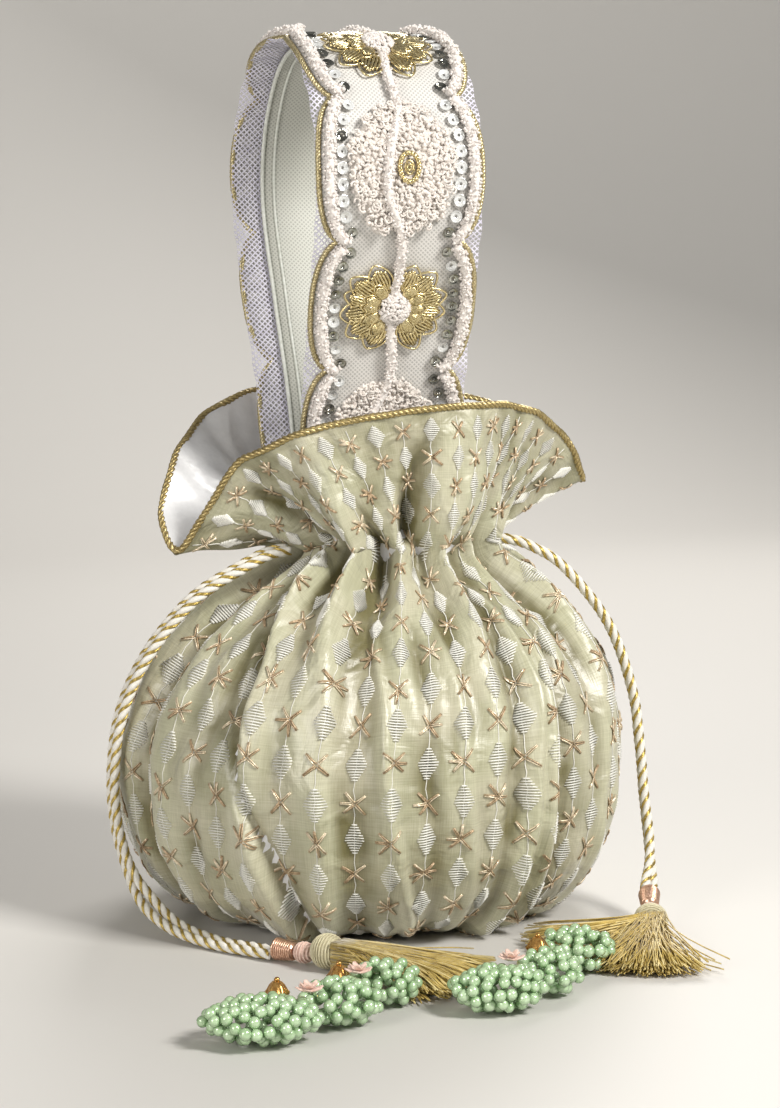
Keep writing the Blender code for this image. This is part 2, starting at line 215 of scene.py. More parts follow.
def smooth_mesh(name, verts, faces, materials):
    """A smooth shaded mesh with its materials."""
    mesh = bpy.data.meshes.new(name)
    mesh.from_pydata(verts, [], faces)
    for material in materials:
        mesh.materials.append(material)
    mesh.polygons.foreach_set("use_smooth", [True] * len(faces))
    return mesh


def shown(mesh):
    """The mesh as a piece of its own name."""
    mesh.update()
    made = bpy.data.objects.new(mesh.name, mesh)
    bpy.context.scene.collection.objects.link(made)
    return made


def ring_faces(rings, sides, closed=True):
    """Faces between rings of points that follow one another."""
    faces = []
    for r in range(rings if closed else rings - 1):
        s = (r + 1) % rings
        for i in range(sides):
            j = (i + 1) % sides
            faces.append((r * sides + i, s * sides + i, s * sides + j, r * sides + j))
    return faces


def run_along(path):
    """The length from the start of a path to each of its points."""
    return np.concatenate([[0.0], np.cumsum(np.linalg.norm(np.diff(path, axis=0), axis=1))])


def sweep(path, radius, sides=6, closed=False, squash=1.0):
    """Vertices and faces of a tube along a path, with capped ends unless it is closed."""
    path = np.asarray(path, dtype=float)
    count = len(path)
    along = np.roll(path, -1, 0) - np.roll(path, 1, 0) if closed else np.gradient(path, axis=0)
    along /= np.linalg.norm(along, axis=1)[:, None] + 1e-12
    side = np.zeros_like(path)
    seed = np.array([0.0, 0.0, 1.0]) if abs(along[0][2]) < 0.9 else np.array([1.0, 0.0, 0.0])
    last = np.cross(along[0], seed)
    for i in range(count):
        last = last - along[i] * np.dot(last, along[i])
        last /= np.linalg.norm(last) + 1e-12
        side[i] = last
    up = np.cross(along, side)
    turn = np.linspace(0, 2 * np.pi, sides, endpoint=False)
    radii = np.broadcast_to(np.asarray(radius, dtype=float), (count,))
    ring = (side[:, None, :] * np.cos(turn)[None, :, None] + up[:, None, :] * np.sin(turn)[None, :, None] * squash)
    verts = (path[:, None, :] + ring * radii[:, None, None]).reshape(-1, 3)
    faces = []
    for i in range(count if closed else count - 1):
        j = (i + 1) % count
        for k in range(sides):
            m = (k + 1) % sides
            faces.append((i * sides + k, i * sides + m, j * sides + m, j * sides + k))
    if not closed:
        faces.append(tuple(range(sides))[::-1])
        faces.append(tuple((count - 1) * sides + k for k in range(sides)))
    return verts, faces


def smooth_line(points, step, closed=False):
    """Points a step apart on a Catmull-Rom curve through the given points."""
    route = [Vector(p) for p in points]
    if closed:
        ends = [route[-1], *route, route[0], route[1]]
        spans = len(route)
    else:
        ends = [route[0] * 2 - route[1], *route, route[-1] * 2 - route[-2]]
        spans = len(route) - 1
    fine = []
    for i in range(spans):
        a, b, c, d = ends[i:i + 4]
        for k in range(24):
            t = k / 24
            fine.append(0.5 * (2 * b + (c - a) * t + (2 * a - 5 * b + 4 * c - d) * t * t
                               + (3 * b - a - 3 * c + d) * t ** 3))
    fine.append(route[0].copy() if closed else route[-1].copy())
    fine = np.array([tuple(p) for p in fine])
    run = run_along(fine)
    count = max(int(round(run[-1] / step)), 2)
    at = np.linspace(0, run[-1], count + 1)
    if closed:
        at = at[:-1]
    return np.stack([np.interp(at, run, fine[:, k]) for k in range(3)], axis=1)


def frames(path, closed=False):
    """Unit tangent, side and up vectors along a path, turned as little as possible."""
    along = np.roll(path, -1, 0) - np.roll(path, 1, 0) if closed else np.gradient(path, axis=0)
    along /= np.linalg.norm(along, axis=1)[:, None]
    side = np.zeros_like(path)
    last = np.cross(along[0], (0.3, 0.2, 0.93))
    for i in range(len(path)):
        last = last - along[i] * np.dot(last, along[i])
        last /= np.linalg.norm(last)
        side[i] = last
    if closed:
        miss = math.atan2(np.dot(np.cross(side[-1], side[0]), along[0]), np.dot(side[-1], side[0]))
        turn = np.linspace(0, miss, len(path))[:, None]
        side = side * np.cos(turn) + np.cross(along, side) * np.sin(turn)
    return along, side, np.cross(along, side)


STRAND_RADIUS = 0.0020
STRAND_SPREAD = 0.0023
FLOOR_TURN = 0.030
BELLY_CENTRE = np.array((0.0, 0.0, 0.060))
LEFT_CORD_ROUTE = (
    (-0.0375, -0.0150, 0.1490), (-0.0460, -0.0155, 0.1475), (-0.0570, -0.0160, 0.1425),
    (-0.0765, -0.0150, 0.1305), (-0.0945, -0.0125, 0.1090), (-0.1050, -0.0100, 0.0850),
    (-0.1085, -0.0100, 0.0600), (-0.1075, -0.0140, 0.0380), (-0.1020, -0.0230, 0.0180),
    (-0.0930, -0.0390, 0.0065), (-0.0805, -0.0580, 0.0026), (-0.0680, -0.0750, 0.0026),
    (-0.0620, -0.0830, 0.0028),
)
RIGHT_CORD_ROUTE = (
    (0.0500, -0.0090, 0.1496), (0.0570, -0.0100, 0.1490), (0.0660, -0.0120, 0.1460), (0.0795, -0.0150, 0.1370),
    (0.0965, -0.0200, 0.1145), (0.1050, -0.0260, 0.0880), (0.1060, -0.0330, 0.0660),
    (0.1050, -0.0410, 0.0460), (0.1035, -0.0510, 0.0290), (0.1010, -0.0590, 0.0190),
    (0.0985, -0.0645, 0.0145), (0.0968, -0.0684, 0.0122),
)
cord_white = mottled("cord_white_cotton", (0.70, 0.67, 0.60), (0.88, 0.86, 0.80), 900, 0.75, Sheen_Weight=0.25)
cord_gold = mottled("cord_gold_thread", (0.42, 0.30, 0.07), (0.80, 0.62, 0.22), 1500, 0.35, 0.85)


def strand_lines(route, step):
    """The two lines of a doubled cord, side by side over the belly and flat on the floor."""
    line = smooth_line(route, step)
    sideways = []
    for i, point in enumerate(line):
        along = line[min(i + 1, len(line) - 1)] - line[max(i - 1, 0)]
        held = min(max(point[2] / FLOOR_TURN, 0.0), 1.0)
        away = point - BELLY_CENTRE
        outward = away / np.linalg.norm(away) * held + np.array((0, 0, 1 - held))
        across = np.cross(along / np.linalg.norm(along), outward)
        across /= np.linalg.norm(across)
        if sideways and np.dot(across, sideways[-1]) < 0:
            across = -across
        sideways.append(across)
    sideways = np.array(sideways)
    return line - sideways * STRAND_SPREAD, line + sideways * STRAND_SPREAD


def laid_cord(mesher, path, radius, pitch):
    """A fat white cord of two plies, with three fine gold yarns that lie in the grooves between them."""
    _, side, up = frames(path)
    run = run_along(path)
    for ply in range(2):
        turn = 2 * math.pi * (run / pitch + ply / 2)
        swell = 0.64 + 0.05 * np.sin(run / pitch * 8 * math.pi)
        line = path + (side * np.cos(turn)[:, None] + up * np.sin(turn)[:, None]) * radius * 0.40
        mesher.add(*sweep(line, radius * swell, 9), look=0)
        for lag in (-0.045, 0.0, 0.045):
            turn = 2 * math.pi * (run / pitch + ply / 2 + 0.25 + lag)
            reach = radius * (0.86 if lag else 0.92)
            line = path + (side * np.cos(turn)[:, None] + up * np.sin(turn)[:, None]) * reach
            mesher.add(*sweep(line, radius * 0.13, 4), look=1)


CORD_STEP = 0.0011
CORD_PITCH = 0.0122
cords = {}
for side_name, route in (("left", LEFT_CORD_ROUTE), ("right", RIGHT_CORD_ROUTE)):
    for strand_name, line in zip(("front", "rear"), strand_lines(route, CORD_STEP)):
        gathered = Mesher()
        laid_cord(gathered, line, STRAND_RADIUS, CORD_PITCH)
        piece = gathered.build(f"{side_name}_braided_cord_{strand_name}", [cord_white, cord_gold])
        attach(piece, "root")
        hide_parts(f"{side_name}_drawcord_{strand_name}")
        cords[side_name, strand_name] = (piece, line)

# ---- Tassels: whipping, thread bead, wrapped head and silk skirt ----
# Each cord ends in a rose gold wire whipping and a pink thread bead. The tassel's head is a wooden ball wound
# with pale thread, and its skirt is old gold silk thread that has splayed where it lies on the floor.
whipping_wire = mottled("rose_gold_wire", (0.50, 0.26, 0.17), (0.88, 0.62, 0.46), 1200, 0.30, 0.9)
bead_thread = mottled("pink_thread", (0.62, 0.40, 0.32), (0.86, 0.66, 0.57), 900, 0.75, Sheen_Weight=0.3)
head_thread = mottled("pale_khaki_thread", (0.50, 0.44, 0.26), (0.72, 0.67, 0.47), 1100, 0.55, Sheen_Weight=0.3)
tassel_thread = mottled("old_gold_silk", (0.34, 0.23, 0.04), (0.62, 0.46, 0.12), 260, 0.42, Sheen_Weight=0.3)
tassel_pale = mottled("pale_gold_silk", (0.58, 0.45, 0.15), (0.82, 0.68, 0.32), 260, 0.42, Sheen_Weight=0.3)
WHIPPING_LENGTH = 0.0090
BEAD_RADIUS = 0.0042
HEAD_RADIUS = 0.0068
TASSELS = {
    "left": ((-0.0620, -0.0834), (0.62, -0.78), 0.0, 0.058, 950, ((0.06, 0.46, 1.0), (0.36, 0.14, 0.3))),
    "right": ((0.0962, -0.0700), (-0.34, -0.94), 0.0070, 0.056, 1250,
              ((0.02, 0.22, 1.0), (-0.32, 0.20, 0.8), (-0.75, 0.30, 0.7), (-1.22, 0.30, 0.9), (0.34, 0.08, 0.06))),
}


def wound_ball(mesher, centre, radius, turns, axis, thread):
    """A ball with thread wound round it from pole to pole."""
    axis = np.array(axis) / np.linalg.norm(axis)
    side = np.cross(axis, (0, 0, 1.0))
    side /= np.linalg.norm(side)
    up = np.cross(axis, side)
    t = np.linspace(0.04, 0.96, turns * 16)
    polar = t * math.pi
    spin = t * turns * 2 * math.pi
    line = (np.array(centre) + axis * (-np.cos(polar) * radius)[:, None]
            + (side * np.cos(spin)[:, None] + up * np.sin(spin)[:, None]) * (np.sin(polar) * radius)[:, None])
    mesher.add(*sweep(line, thread, 5))
    inner = radius * 0.96
    slices = np.linspace(0.02, math.pi - 0.02, 12)
    ball = [np.array(centre) + axis * (-math.cos(a)) * inner for a in slices]
    mesher.add(*sweep(ball, [max(math.sin(a), 0.02) * inner for a in slices], 14))


def tassel_skirt(mesher, start, way, fans, length, threads, seed):
    """Silk threads that leave the head in a bunch, splay in locks and settle on the floor."""
    dice = random.Random(seed)
    across = np.array((-way[1], way[0], 0.0))
    weights = [fan[2] for fan in fans]
    for k in range(threads):
        middle, spread, _ = dice.choices(fans, weights)[0]
        swing = middle + dice.gauss(0, 0.5) * spread
        parted = 0.56 if -1.02 < swing < -0.36 else 0.88 if swing < -1.0 else 1.0
        reach = length * dice.uniform(0.84, 1.03) * parted
        rise = dice.random()
        mouth = dice.uniform(-1, 1)
        line = []
        wave = dice.uniform(0, 6.3)
        curl = dice.gauss(0, 0.10)
        for t in np.linspace(0, 1, 7):
            turn = swing * t ** 0.45 + curl * t * t
            ahead = way * math.cos(turn) + across * math.sin(turn)
            high = (0.0068 + 0.0052 * (rise - 0.5) * 2) * (1 - t) ** 0.8
            high += t * (0.0008 + 0.0105 * rise * (1 - 0.55 * t))
            wobble = across * (0.0007 * math.sin(wave + 5 * t))
            spread_out = across * (mouth * 0.0046 * (1 - t))
            line.append(np.array(start) + ahead * (reach * t) + wobble + spread_out + np.array((0, 0, high)))
        mesher.add(*sweep(line, 0.00034, 3), look=0 if dice.random() < 0.75 else 1)


for side_name, (foot, way, held, length, threads, fans) in TASSELS.items():
    way = np.array((*way, 0.0))
    way /= np.linalg.norm(way)
    foot = np.array((*foot, 0.0))
    across = np.array((-way[1], way[0], 0.0))

    gathered = Mesher()
    t = np.linspace(0, 1, 180)
    spin = t * 9 * 2 * math.pi
    waist = 0.0040 - 0.0009 * t
    drop = np.stack([0 * t, 0 * t, 0.0047 + held * (1 - 0.35 * t)], axis=1)
    line = (foot + way * (0.0008 + t * (WHIPPING_LENGTH - 0.0008))[:, None] + drop
            + across * (np.cos(spin) * waist)[:, None] + np.array((0, 0, 1.0)) * (np.sin(spin) * waist)[:, None])
    gathered.add(*sweep(line, 0.00048, 6))
    gathered.add(*sweep([foot + way * 0.0006 + drop[0], foot + way * WHIPPING_LENGTH + drop[-1]],
                        [0.0039, 0.0030], 12))
    whipping = gathered.build(f"{side_name}_wire_whipping", [whipping_wire])
    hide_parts(f"{side_name}_whipping")

    at = WHIPPING_LENGTH + BEAD_RADIUS + 0.0006
    gathered = Mesher()
    middle = foot + way * at + (0, 0, BEAD_RADIUS + 0.0009 + held * 0.35)
    wound_ball(gathered, middle, BEAD_RADIUS - 0.0003, 9, way, 0.00042)
    bead = gathered.build(f"{side_name}_wound_bead", [bead_thread])
    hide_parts(f"{side_name}_thread_bead")

    at += BEAD_RADIUS + HEAD_RADIUS
    gathered = Mesher()
    wound_ball(gathered, foot + way * at + (0, 0, HEAD_RADIUS + 0.0004), HEAD_RADIUS - 0.0002, 17, way, 0.00036)
    head = gathered.build(f"{side_name}_wound_head", [head_thread])
    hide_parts(f"{side_name}_tassel_head")

    at += HEAD_RADIUS - 0.0022
    gathered = Mesher()
    tassel_skirt(gathered, foot + way * at, way, fans, length, threads, 11 if side_name == "left" else 12)
    skirt = gathered.build(f"{side_name}_silk_skirt", [tassel_thread, tassel_pale])
    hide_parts(f"{side_name}_tassel_skirt")

    for part in (whipping, bead, head, skirt):
        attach(part, "root")
    for strand_name in ("front", "rear"):
        piece, line = cords[side_name, strand_name]

# ---- Silk pouch: body, gathered neck and flared collar ----
# One cloth of pale celadon dupion silk, lined with satin, is drawn in at the neck by its cords. Its gathers run
# down into soft pleats on the belly and up into the flared collar, which sags into a spout on either side.
NECK_CENTRE = (0.010, 0.0)
LEAN_START = 0.070
BODY_LENGTH = 0.205
COLLAR_LENGTH = 0.072
ROW_STEP = 0.0023
AROUND = 448
FLAT_RADIUS = 0.103
PLEATS = 18
BODY_PROFILE = (
    (0.0500, 0.0004), (0.0620, 0.0014), (0.0800, 0.0075), (0.0925, 0.0200), (0.1000, 0.0380), (0.1030, 0.0600),
    (0.1010, 0.0800), (0.0925, 0.1020), (0.0770, 0.1210), (0.0570, 0.1350), (0.0430, 0.1430), (0.0385, 0.1500),
)
LIP = (
    (0.0935, 0.0000, 0.1690), (0.0800, 0.0160, 0.1890), (0.0600, 0.0290, 0.2020), (0.0300, 0.0390, 0.2070),
    (-0.0050, 0.0440, 0.2080), (-0.0380, 0.0430, 0.2075), (-0.0600, 0.0330, 0.1990), (-0.0755, 0.0190, 0.1840),
    (-0.0850, 0.0060, 0.1620), (-0.0810, -0.0030, 0.1440), (-0.0700, -0.0110, 0.1640), (-0.0610, -0.0190, 0.1830),
    (-0.0390, -0.0350, 0.1965), (-0.0120, -0.0440, 0.2030), (0.0160, -0.0460, 0.2060), (0.0450, -0.0350, 0.2060),
    (0.0650, -0.0225, 0.2010), (0.0825, -0.0110, 0.1880),
)


def periodic(angle, stops, values, softness):
    """Values given at angles, blended smoothly all the way round."""
    order = np.argsort(stops)
    stops = np.array(stops)[order]
    values = np.array(values)[order]
    wide = np.concatenate([stops - 2 * np.pi, stops, stops + 2 * np.pi])
    grown = np.concatenate([values, values, values])
    ring = np.interp(angle, wide, grown)
    for _ in range(softness):
        ring = (np.roll(ring, 1) + 2 * ring + np.roll(ring, -1)) / 4
    return ring


def from_angle(angle, centre):
    """How far each angle lies from a centre, the short way round."""
    return (angle - centre + np.pi) % (2 * np.pi) - np.pi


def near(angle, centre, width):
    """A smooth bump round an angle."""
    return np.exp(-(from_angle(angle, centre) / width) ** 2)


def grid_normal(grid):
    """Unit normals of a grid of points that closes round."""
    normal = np.cross(np.roll(grid, -1, 1) - np.roll(grid, 1, 1), np.gradient(grid, axis=0))
    return normal / (np.linalg.norm(normal, axis=2)[:, :, None] + 1e-12)


def pouch_grid():
    """Points of the pouch cloth, row by row from the base seam to the lip, and how deep each lies in a fold."""
    angle = np.linspace(0, 2 * np.pi, AROUND, endpoint=False)
    profile = smooth_line([(r, 0, z) for r, z in BODY_PROFILE], 0.0005)
    run = run_along(profile)
    body_rows = int(BODY_LENGTH / ROW_STEP)
    collar_rows = int(COLLAR_LENGTH / ROW_STEP)
    rows = []
    for i in range(body_rows + 1):
        at = run[-1] * i / body_rows
        radius = np.interp(at, run, profile[:, 0])
        height = np.interp(at, run, profile[:, 2])
        lean = NECK_CENTRE[0] * max(0.0, (height - LEAN_START) / (0.148 - LEAN_START))
        flat = np.stack([lean + radius * np.cos(angle), radius * np.sin(angle), np.full(AROUND, height)], axis=1)
        rows.append(flat)
    neck = rows[-1]
    stops = [math.atan2(y * 2.0, x - 0.006) for x, y, _ in LIP]
    lip = np.stack([periodic(angle, stops, [p[k] for p in LIP], AROUND // 40) for k in range(3)], axis=1)
    middle = neck * 0.55 + lip * 0.45
    middle[:, 2] = neck[:, 2] + (lip[:, 2] - neck[:, 2]) * 0.52 + 0.0030
    for j in range(1, collar_rows + 1):
        t = j / collar_rows
        rows.append(neck * (1 - t) ** 2 + middle * 2 * t * (1 - t) + lip * t * t)
    grid = np.array(rows)

    normal = grid_normal(grid)
    level = np.arange(len(rows)) * ROW_STEP
    from_neck = (level - BODY_LENGTH)[:, None]
    below_neck = np.exp(-(np.abs(from_neck) / 0.050) ** 1.2)
    fall = np.where(from_neck < 0, below_neck, np.exp(-np.abs(from_neck) / 0.016))
    dice = np.random.default_rng(7)
    warp = sum(dice.uniform(0.05, 0.24) * np.sin(k * angle + dice.uniform(0, 6.3)) for k in (2, 3, 5, 7))
    depth = 1 + sum(dice.uniform(0.12, 0.26) * np.sin(k * angle + dice.uniform(0, 6.3)) for k in (4, 6, 9, 11))
    drift = 0.5 * np.sin(3 * angle + 1.1)[None, :] * np.clip(-from_neck / 0.12, 0, 1)
    phase = PLEATS * (angle + warp / PLEATS * 2.2)[None, :] + drift
    crest = 1 - 2 * np.abs(np.sin(phase / 2)) ** 1.15
    amount = 0.0062 * depth[None, :] * fall
    fold = crest * amount
    # soft flutes of uneven width that carry the gathers down over the belly
    belly = np.clip(1 + from_neck / 0.205, 0, 1) ** 0.45 * (from_neck < 0)
    flutes = ((9, 0.4, 6, 0.35), (13, 2.1, -5, 0.42), (17, 4.0, 9, 0.34), (23, 1.3, -12, 0.22))
    flute = sum(size * np.cos(k * angle[None, :] + start + slant * from_neck + 1.2 * warp[None, :])
                for k, start, slant, size in flutes)
    fold = fold + 0.0027 * flute * belly
    # small slack dents where the cloth is loose
    slack = (np.sin(7 * angle[None, :] + 70 * from_neck + 2) * np.sin(19 * angle[None, :] - 55 * from_neck)
             + 0.7 * np.sin(31 * angle[None, :] + 95 * from_neck + 1) * np.sin(5 * angle[None, :] + 60 * from_neck))
    fold = fold + 0.00095 * slack * np.clip(np.abs(from_neck) / 0.03, 0, 1)
    # the collar billows in broad lobes that hang over the neck, with deep creases between them
    t = np.clip(from_neck / COLLAR_LENGTH, 0, 1)
    lobe = np.sin(np.pi * t ** 0.62) * (t < 1)
    crease = np.clip(t / 0.06, 0, 1) * np.clip(1 - t / 0.80, 0, 1) ** 0.8
    for centre, width, rise in ((-2.12, 0.24, 0.0105), (-1.28, 0.27, 0.0100), (-2.78, 0.20, 0.0055),
                                (2.20, 0.26, 0.0075), (1.45, 0.24, 0.0070), (0.80, 0.20, 0.0050)):
        fold = fold + rise * near(angle, centre, width)[None, :] * lobe
    for centre, width, rise, slant in ((-2.46, 0.065, -0.0120, -0.30), (-1.74, 0.070, -0.0130, 0.28),
                                       (-0.98, 0.060, -0.0070, 0.20), (-2.00, 0.045, -0.0030, -0.10),
                                       (-1.42, 0.050, -0.0030, 0.15), (1.82, 0.070, -0.0085, 0.20),
                                       (1.10, 0.060, -0.0060, -0.20), (2.60, 0.070, -0.0070, 0.20)):
        gap = from_angle(angle[None, :], centre + slant * t)
        fold = fold + rise * np.exp(-(gap / width) ** 2) * crease
    # one broad pleat laps down the whole front: under its neighbour above, over it below
    lap_line = np.interp(level, (0.0, 0.03, 0.06, 0.09, 0.14, 0.18, 0.205),
                         (-2.08, -2.18, -2.26, -2.35, -2.38, -2.47, -2.50))
    gap = from_angle(angle[None, :], lap_line[:, None])
    below = np.interp(level, (0.07, 0.12), (1.0, 0.0))[:, None]
    lap_left = np.where(gap < 0, np.exp(gap / 0.17), np.exp(-gap / 0.030))
    lap_right = np.where(gap > 0, np.exp(-gap / 0.17), np.exp(gap / 0.030))
    lap = lap_left * below + lap_right * (1 - below)
    lap_height = np.interp(level, (0.0, 0.03, 0.12, 0.18, 0.205, 0.215), (0.003, 0.0066, 0.0074, 0.0068, 0.003, 0.0))
    foot = 0.050 * (2 * below - 1)
    lap = lap - 0.66 * np.exp(-((gap - foot) / 0.026) ** 2)
    fold = fold + lap * lap_height[:, None]
    # narrow ridges and creases that wander down the front, each with its angles at four heights
    ridges = (
        ((-1.66, -1.77, -1.84, -2.00), 0.0024, 0.024), ((-1.42, -1.46, -1.52, -1.66), 0.0022, 0.032),
        ((-1.56, -1.61, -1.66, -1.78), -0.0022, 0.040), ((-1.24, -1.20, -1.16, -1.22), 0.0030, 0.030),
        ((-1.32, -1.29, -1.25, -1.31), -0.0028, 0.040), ((-1.08, -1.12, -1.09, -1.06), 0.0032, 0.030),
        ((-1.00, -1.04, -1.01, -0.98), -0.0026, 0.038), ((-2.05, -2.02, -2.06, -2.20), 0.0018, 0.045),
        ((-2.62, -2.58, -2.53, -2.50), -0.0018, 0.045), ((-2.86, -2.92, -2.97, -2.75), -0.0020, 0.05),
        ((-0.70, -0.74, -0.72, -0.68), 0.0026, 0.04), ((1.2, 1.3, 1.35, 1.4), 0.0030, 0.035),
        ((2.0, 1.95, 1.9, 2.05), -0.0030, 0.04), ((2.5, 2.42, 2.4, 2.45), 0.0028, 0.035),
        ((0.4, 0.45, 0.5, 0.6), -0.0026, 0.045),
    )
    strength = np.interp(level, (0.0, 0.03, 0.09, 0.15, 0.195), (0.3, 0.8, 1.0, 0.9, 0.0))[:, None]
    for angles, rise, width in ridges:
        line = np.interp(level, (0.03, 0.08, 0.13, 0.19), angles)
        gap = from_angle(angle[None, :], line[:, None])
        fold = fold + 1.35 * rise * np.exp(-(gap / width) ** 2) * strength
    seam = np.clip(level / 0.012, 0, 1)[:, None]
    shaped = grid + normal * (fold * seam)[:, :, None]
    shaped[:, :, 2] = np.maximum(shaped[:, :, 2], 0.0004)
    return shaped, fold


def cloth_mesh(name, grid, fold, material, row_step):
    """The cloth as one sheet with a UV map in flat millimetres and the fold depth as an attribute."""
    rows, around = grid.shape[:2]
    faces = []
    corners = []
    wide = 2 * np.pi * FLAT_RADIUS * 1000 / around
    for i in range(rows - 1):
        for k in range(around):
            m = (k + 1) % around
            faces.append((i * around + k, i * around + m, (i + 1) * around + m, (i + 1) * around + k))
            for u, v in ((k, i), (k + 1, i), (k + 1, i + 1), (k, i + 1)):
                corners.extend((u * wide, v * row_step * 1000))
    mesh = smooth_mesh(name, grid.reshape(-1, 3).tolist(), faces, [material])
    # the fold depth, with its local contrast made stronger, is the mask for the silk's painted fold shade
    depth = mesh.attributes.new("fold_depth", "FLOAT", "POINT")
    nearby = range(-(around // 28), around // 28 + 1)
    smooth = sum(np.roll(fold, shift, 1) for shift in nearby) / len(nearby)
    depth.data.foreach_set("value", ((fold - smooth) / 0.0017 + fold / 0.014).ravel())
    mesh.uv_layers.new(name="flat_mm").data.foreach_set("uv", corners)
    return shown(mesh)


def apply_modifiers(piece):
    bpy.ops.object.select_all(action="DESELECT")
    bpy.context.view_layer.objects.active = piece
    piece.select_set(True)
    for modifier in list(piece.modifiers):
        bpy.ops.object.modifier_apply(modifier=modifier.name)
    piece.select_set(False)


def silk_material():
    """Dupion silk: slubs along the weft, a fine weave, painted shade and light by fold depth (darker olive in the
    folds, paler on the ridges) and a pale bloom in random patches.
    """
    made = new_material("celadon_silk", (0.60, 0.58, 0.44), 0.36, Sheen_Weight=0.25, Sheen_Roughness=0.4,
                        Specular_IOR_Level=0.75, Coat_Weight=0.12, Coat_Roughness=0.30)
    tree = made.node_tree
    link = tree.links.new
    shader = tree.nodes["Principled BSDF"]
    flat = flat_place(tree)
    weave = tree.nodes.new("ShaderNodeMath")
    for entry, scale, detail in ((0, (0.06, 1.9, 1), 4.0), (1, (2.6, 0.08, 1), 2.0)):
        place = add_node(tree, "ShaderNodeMapping", Scale=scale)
        noise = add_node(tree, "ShaderNodeTexNoise", Scale=1.0, Detail=detail)
        link(flat, place.inputs["Vector"])
        link(place.outputs["Vector"], noise.inputs["Vector"])
        link(noise.outputs["Fac"], weave.inputs[entry])
    # painted shade: the fold depth darkens the colour to olive down in the folds and lightens it on the ridges
    depth = tree.nodes.new("ShaderNodeAttribute")
    depth.attribute_name = "fold_depth"
    shade = add_node(tree, "ShaderNodeMapRange", From_Min=-1.5, From_Max=0.75)
    painted_fold_shade = colour_mix(tree, (0.165, 0.148, 0.060), (0.500, 0.495, 0.345))
    link(depth.outputs["Fac"], shade.inputs["Value"])
    link(shade.outputs["Result"], painted_fold_shade.inputs["Factor"])
    patch = add_node(tree, "ShaderNodeTexNoise", Scale=0.035, Detail=3.0)
    warm = add_node(tree, "ShaderNodeMapRange", From_Min=0.40, From_Max=0.66, To_Max=0.65)
    bloom = colour_mix(tree, None, (0.600, 0.570, 0.435))
    link(flat, patch.inputs["Vector"])
    link(patch.outputs["Fac"], warm.inputs["Value"])
    link(warm.outputs["Result"], bloom.inputs["Factor"])
    link(painted_fold_shade.outputs["Result"], bloom.inputs["A"])
    threads = add_node(tree, "ShaderNodeMapRange", From_Min=0.70, From_Max=1.35)
    grain = colour_mix(tree, (0.80, 0.79, 0.74), (1.10, 1.10, 1.12))
    colour = colour_mix(tree, way="MULTIPLY")
    colour.inputs["Factor"].default_value = 1.0
    link(weave.outputs["Value"], threads.inputs["Value"])
    link(threads.outputs["Result"], grain.inputs["Factor"])
    link(bloom.outputs["Result"], colour.inputs["A"])
    link(grain.outputs["Result"], colour.inputs["B"])
    link(colour.outputs["Result"], shader.inputs["Base Color"])
    crumple = add_node(tree, "ShaderNodeTexNoise", Scale=0.055, Detail=2.5, Distortion=0.8)
    dents = add_node(tree, "ShaderNodeBump", Strength=0.55, Distance=0.0050)
    relief = add_node(tree, "ShaderNodeBump", Strength=0.35, Distance=0.00030)
    link(flat, crumple.inputs["Vector"])
    link(crumple.outputs["Fac"], dents.inputs["Height"])
    link(weave.outputs["Value"], relief.inputs["Height"])
    link(dents.outputs["Normal"], relief.inputs["Normal"])
    link(relief.outputs["Normal"], shader.inputs["Normal"])
    return made


silk = silk_material()
silk_grid, silk_fold = pouch_grid()
silk_run = np.arange(len(silk_grid)) * ROW_STEP
collar_shade = 0.0060 * np.clip((silk_run - BODY_LENGTH - 0.004) / 0.016, 0, 1)[:, None]
pouch = cloth_mesh("silk_pouch", silk_grid, silk_fold - collar_shade, silk, ROW_STEP)
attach(pouch, "root")
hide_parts("outer_pouch")

# ---- Base panel: the round silk panel that the bag stands on ----
# A round panel of the same silk, seamed into the pouch under the belly, slightly padded so that it lies flat.
BASE_RADIUS = 0.0496
bpy.ops.mesh.primitive_circle_add(vertices=96, radius=BASE_RADIUS, fill_type="NGON", location=(0, 0, 0.0002))
base = bpy.context.object
base.name = "silk_base_panel"
bpy.ops.object.mode_set(mode="EDIT")
bpy.ops.mesh.select_all(action="SELECT")
for _ in range(4):
    bpy.ops.mesh.inset(thickness=0.0090, depth=0.0)
bpy.ops.mesh.select_all(action="SELECT")
bpy.ops.mesh.normals_make_consistent(inside=False)
bpy.ops.object.mode_set(mode="OBJECT")
bpy.ops.object.transform_apply(location=True, rotation=True, scale=True)
base.data.materials.append(mottled("base_silk", (0.44, 0.41, 0.27), (0.58, 0.56, 0.42), 300, 0.45, Sheen_Weight=0.35))
panel = base.modifiers.new("Cloth", "SOLIDIFY")
panel.thickness = 0.0010
panel.offset = 1
apply_modifiers(base)
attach(base, "root")
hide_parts("base_panel")

# ---- Embroidery: zari stars, satin stitch diamonds and the thread between them ----
# Worked on the flat cloth before it was gathered, in columns 14 mm apart: rose gold zari stars every 29 mm, a
# white satin stitch diamond half way between them, and one white thread that runs down through both.
silk_normal = grid_normal(silk_grid)
FLAT_WIDTH = 2 * math.pi * FLAT_RADIUS
COLUMNS = 46
COLUMN_STEP = FLAT_WIDTH / COLUMNS
REPEAT = 0.0290


